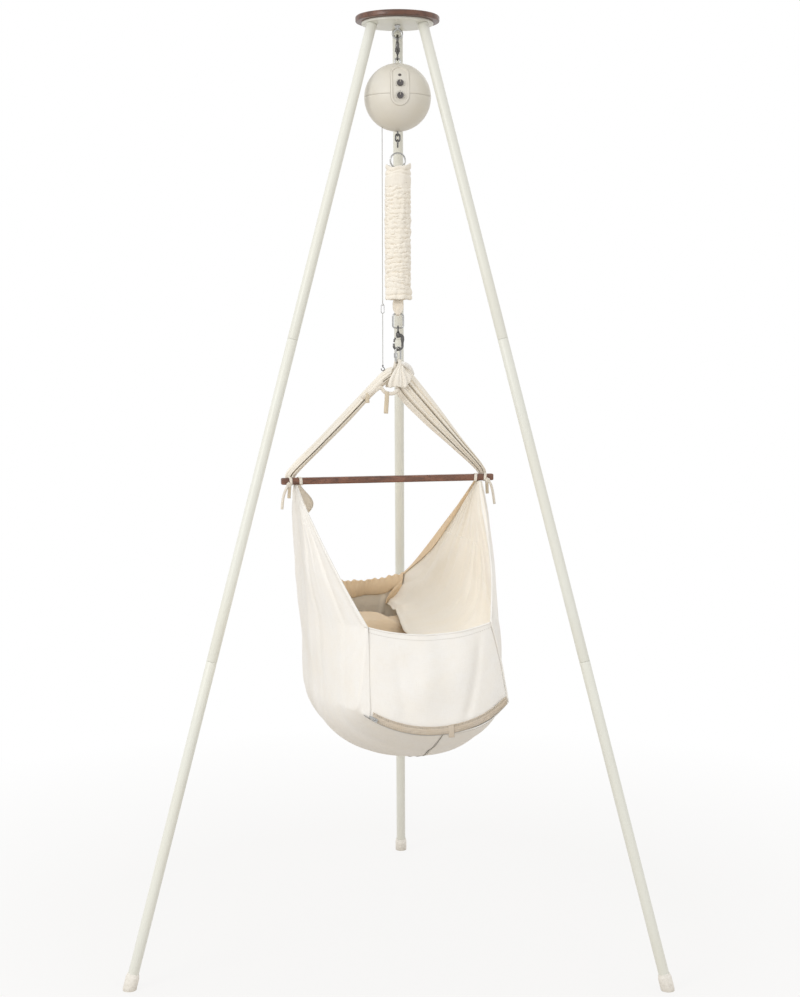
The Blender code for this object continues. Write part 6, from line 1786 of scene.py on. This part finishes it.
def make_mattress():
    """The stuffed pad in the foot of the cradle, raised at its head end, with the seam round its top."""
    rim_v, depth, reach, round_end = 0.566, CLOTH + 0.0095, 0.868, 0.040

    def ring_point(place, share):
        """A point round the pad's section at a place along it: first its sides, then its top."""
        if share <= 0.5:
            v = mix(rim_v, 1.0, 1 - abs(share * 4 - 1))
            side = 1 if share < 0.25 else -1
            point = wall_point(place, v) - wall_normal(place, v) * depth
            return Vector((side * max(point.x, 0) * 0.985 + keel_shift(place, v), point.y, point.z))
        rim = wall_point(place, rim_v) - wall_normal(place, rim_v) * depth
        keel = wall_point(place, 1) - wall_normal(place, 1) * depth
        raised = ease((0.15 - place) / 0.5)
        across = -1 + (share - 0.5) * 4
        tucked = 0.014 * ease((across - 0.15) / 0.25)
        low = mix(keel.z + 0.072, 0.688 - tucked, raised)
        high = mix(rim.z + 0.010, 0.690 - tucked, raised)
        return Vector((rim.x * across * 0.97, rim.y, mix(low, high, abs(across) ** 2.2)))

    def at(u, v):
        place = mix(-reach, reach, v)
        point = ring_point(place, u % 1.0)
        ending = min(1.0, min(v, 1 - v) / round_end)
        scale = sqrt(max(0.0, 1 - (1 - ending) ** 2))
        top, keel = ring_point(place, 0.75), ring_point(place, 0.25)
        middle = Vector((0, point.y, (top.z * 0.6 + keel.z * 0.4)))
        return settled(middle + (point - middle) * scale)

    pad = skin(72, 90, at, (1, 1), True)
    facing_out(pad)
    piece = kept("stuffed_pad", pad, "pad cotton", None, HANGING, sharp=0)
    plump(piece, 0.007, 0.006)
    with_uv(piece)
    piece.data.shade_smooth()
    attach(piece, "hammock")
    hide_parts("mattress")
    smoother = piece.modifiers.new("smooth", "SUBSURF")
    smoother.levels = smoother.render_levels = 1


def make_drape():
    """The loose cloth that sags from the right wall over the edge of the pad."""

    def at(u, v):
        place = mix(-0.965, 0.93, u)
        start = mix(0.20, 0.40, ease((place - 0.2) / 0.6))
        wall = sling_point(1, place, mix(start, 0.50, v), -CLOTH - 0.0012 - 0.002 * v)
        rear = ease((wall.y + 0.10) / 0.40)
        edge_x = mix(0.026, 0.074, rear)
        edge_z = 0.7005 + 0.004 * ripple(7 * place, 1, 2)
        x = mix(wall.x, edge_x, 0.12 * v ** 1.5 + 0.88 * v ** 4)
        z = mix(wall.z, edge_z, v ** 2)
        fold = 0.0040 * ripple(6.5 * place + 1.5 * v, 2 * v, 11) + 0.0028 * cos(16 * place + 5 * v)
        fold *= sin(pi * v) * ease(v / 0.4)
        tuck = 0.010 * ease((v - 0.93) / 0.07)
        return Vector((x + fold, wall.y + 0.012 * v, z - tuck))

    cloth = skin(240, 70, at, (0.60, 0.24))
    # Painted shade: the loose cloth inside the cradle takes the warmer inside cotton.
    piece = sewn("loose_lining", cloth, "inner cotton")
    face_away(piece, HANGING.to_3x3() @ Vector((-1, 0, 0.5)))
    thickened(piece, 0.0012, -1)


def with_uv(piece):
    """A UV map in metres, laid from above, for a mesh that has lost its own."""
    mesh = piece.data
    layer = mesh.uv_layers.new(name="UVMap") if not mesh.uv_layers else mesh.uv_layers[0]
    for loop in mesh.loops:
        spot = mesh.vertices[loop.vertex_index].co
        layer.data[loop.index].uv = (spot.x + spot.z * 0.35, spot.y + spot.z * 0.35)


def plump(piece, voxel, most):
    """Fills a pad as its stuffing would: blown up by the cloth simulation and held near its shape."""
    remesh = piece.modifiers.new("remesh", "REMESH")
    remesh.mode = "VOXEL"
    remesh.voxel_size = voxel
    applied(piece)
    rest = [vert.co.copy() for vert in piece.data.vertices]
    cloth = piece.modifiers.new("cloth", "CLOTH")
    cloth.settings.quality = 4
    cloth.settings.mass = 0.25
    cloth.settings.tension_stiffness = 12
    cloth.settings.compression_stiffness = 12
    cloth.settings.bending_stiffness = 0.4
    cloth.settings.use_pressure = True
    cloth.settings.uniform_pressure_force = 4
    cloth.settings.effector_weights.gravity = 0
    cloth.collision_settings.use_collision = False
    last_frame = 20
    cloth.point_cache.frame_start, cloth.point_cache.frame_end = 1, last_frame
    scene = bpy.context.scene
    for frame in range(1, last_frame + 1):
        scene.frame_set(frame)
    applied(piece)
    scene.frame_set(1)
    for vert, start in zip(piece.data.vertices, rest):
        shift = vert.co - start
        if shift.length > most:
            vert.co = start + shift.normalized() * most


def applied(piece):
    """Makes what the piece's modifiers give its own mesh."""
    depsgraph = bpy.context.evaluated_depsgraph_get()
    mesh = bpy.data.meshes.new_from_object(piece.evaluated_get(depsgraph))
    old = piece.data
    piece.modifiers.clear()
    piece.data = mesh
    if not mesh.materials:
        for look in old.materials:
            mesh.materials.append(look)
    bpy.data.meshes.remove(old)


# Stage
def make_stage():
    """The pale floor, the soft lights and the camera at the photograph's place."""
    scene = bpy.context.scene
    scene.view_settings.view_transform = "Standard"
    floor = bmesh.new()
    bmesh.ops.create_grid(floor, x_segments=1, y_segments=1, size=40)
    ground = shown("floor", meshed("floor", floor))
    ground.data.materials.append(floor_finish())
    soft_world(scene)
    lamps = (("key", (-2.4, -2.6, 2.4), 1.6, 36.0), ("fill", (2.4, -3.0, 1.4), 2.2, 7.0),
             ("back", (0.8, 3.0, 2.8), 2.0, 8.0))
    for name, at, size, power in lamps:
        lamp = bpy.data.lights.new(name, "AREA")
        lamp.shape = "DISK"
        lamp.size = size
        lamp.energy = power
        holder = shown(name, lamp)
        holder.location = at
        holder.rotation_mode = "QUATERNION"
        holder.rotation_quaternion = (Vector((0, 0, 0.95)) - Vector(at)).to_track_quat("-Z", "Y")
    place_camera(scene)


def place_camera(scene):
    """A camera with the photograph's lens, height, distance, tilt and roll."""
    distance, height, tilt = 3.6996, 1.3412, 0.0981
    azimuth, aim, roll = 0.0073, 0.0064, -0.0021
    ahead = Vector((-sin(aim) * cos(tilt), cos(aim) * cos(tilt), -sin(tilt)))
    level = Vector((cos(aim), sin(aim), 0))
    up = level.cross(ahead)
    right = level * cos(roll) + up * sin(roll)
    top = up * cos(roll) - level * sin(roll)
    data = bpy.data.cameras.new("camera")
    data.sensor_width = 36.0
    focal_pixels, photo_height = 1712.5, 997
    data.lens = focal_pixels * data.sensor_width / photo_height
    camera = shown("camera", data)
    stand_at = Matrix.Translation((distance * sin(azimuth), AXIS_Y - distance * cos(azimuth), height))
    camera.matrix_world = stand_at @ Matrix((right, top, -ahead)).transposed().to_4x4()
    scene.camera = camera


def floor_finish():
    """A pale matt floor: nearly white to the camera, with its shadow kept near the feet."""
    made = Finish("floor", (0.58, 0.54, 0.49), 0.9, specular_ior_level=0.1)
    rays = made.node("ShaderNodeLightPath", {}, {}, "Is Camera Ray")
    for kind in ("Is Glossy Ray", "Is Transmission Ray"):
        rays = rays + made.node("ShaderNodeLightPath", {}, {}, kind)
    reach = made.node("ShaderNodeVectorMath", {"operation": "LENGTH"}, {0: made.place()}, "Value")
    share = rays * (reach.over(0.7, 1.9) * 0.16 + 0.84)
    glow = made.node("ShaderNodeEmission", {}, {"Color": (1.0, 1.0, 1.0), "Strength": 1.0})
    matt = Amount(made, made.shader.outputs[0])
    both = made.node("ShaderNodeMixShader", {}, {0: share, 1: matt, 2: glow})
    made.tree.links.new(both.socket, made.tree.nodes["Material Output"].inputs["Surface"])
    return made.material


def soft_world(scene):
    """An even pale surround: white to the camera, softer as light."""
    world = bpy.data.worlds.new("surround")
    scene.world = world
    world.use_nodes = True
    tree = world.node_tree
    paths = tree.nodes.new("ShaderNodeLightPath")
    shown = tree.nodes.new("ShaderNodeMath")
    shown.operation = "MAXIMUM"
    tree.links.new(paths.outputs["Is Camera Ray"], shown.inputs[0])
    tree.links.new(paths.outputs["Is Transmission Ray"], shown.inputs[1])
    strength = tree.nodes.new("ShaderNodeMapRange")
    tree.links.new(shown.outputs[0], strength.inputs["Value"])
    strength.inputs["To Min"].default_value = 0.93
    strength.inputs["To Max"].default_value = 1.0
    ground = tree.nodes["Background"]
    ground.inputs["Color"].default_value = (1, 1, 1, 1)
    tree.links.new(strength.outputs[0], ground.inputs["Strength"])


# Operators and panel
def operator(name, label, about, *makers):
    """One operator class that makes one group of pieces."""

    def execute(self, context):
        for make in makers:
            make()
        return {"FINISHED"}

    return type("HAMMOCK_OT_" + name, (bpy.types.Operator,),
                {"bl_idname": "hammock." + name, "bl_label": label, "__doc__": about, "execute": execute})


OPERATORS = [
    operator("stage", "Stage", "Makes the floor, the lights and the camera", make_stage),
    operator("head", "Head of the stand", "Makes the wooden disc, its plate and the eye", make_head),
    operator("legs", "Legs and feet", "Makes the nine tubes and the rubber feet", make_legs),
    operator("hanger", "Upper snap hook", "Makes the hook, gate and swivel above the motor", make_hanger),
    operator("motor", "Motor", "Makes the ball, its panel, dials and insides", make_motor),
    operator("chain", "Chain", "Makes the links and the ring under the motor", make_chain),
    operator("spring", "Spring and sleeve", "Makes the coil, its webbing, sleeve and ring", make_spring),
    operator("line", "Pull line", "Makes the line, its clip and its tail", make_line),
    operator("lower_hook", "Lower snap hook", "Makes the hook, gate, swivel and quick link",
             make_lower_hook),
    operator("straps", "Straps", "Makes the gathered cloth above the bar", make_straps),
    operator("bar", "Spreader bar", "Makes the walnut bar", make_bar),
    operator("ties", "Ties", "Makes the ribbons at the bar's ends", make_ties),
    operator("slings", "Cradle cloth", "Makes the two halves of the cradle", make_slings),
    operator("panels", "End panels", "Makes the panels at the ends of the cradle", make_panels),
    operator("zip", "Zip", "Makes the zip with its slider and tab", make_zip),
    operator("mattress", "Pad", "Makes the stuffed pad", make_mattress, make_drape),
]


class HAMMOCK_PT_panel(bpy.types.Panel):
    """Lists what the add-on makes, and the sizes and colours it uses."""

    bl_label = "Hammock"
    bl_space_type = "VIEW_3D"
    bl_region_type = "UI"
    bl_category = "Hammock"

    def draw(self, context):
        for group in (context.scene.hammock_sizes, context.scene.hammock_colours):
            for name in group.__annotations__:
                self.layout.prop(group, name)
        for made in OPERATORS:
            self.layout.operator(made.bl_idname)


CLASSES = [HammockSizes, HammockColours, *OPERATORS, HAMMOCK_PT_panel]


def register():
    for made in CLASSES:
        bpy.utils.register_class(made)
    bpy.types.Scene.hammock_sizes = PointerProperty(type=HammockSizes)
    bpy.types.Scene.hammock_colours = PointerProperty(type=HammockColours)


def unregister():
    del bpy.types.Scene.hammock_sizes
    del bpy.types.Scene.hammock_colours
    for made in reversed(CLASSES):
        bpy.utils.unregister_class(made)


def main():
    register()
    for made in OPERATORS:
        getattr(bpy.ops.hammock, made.bl_idname.split(".")[1])()


if __name__ == "__main__":
    main()
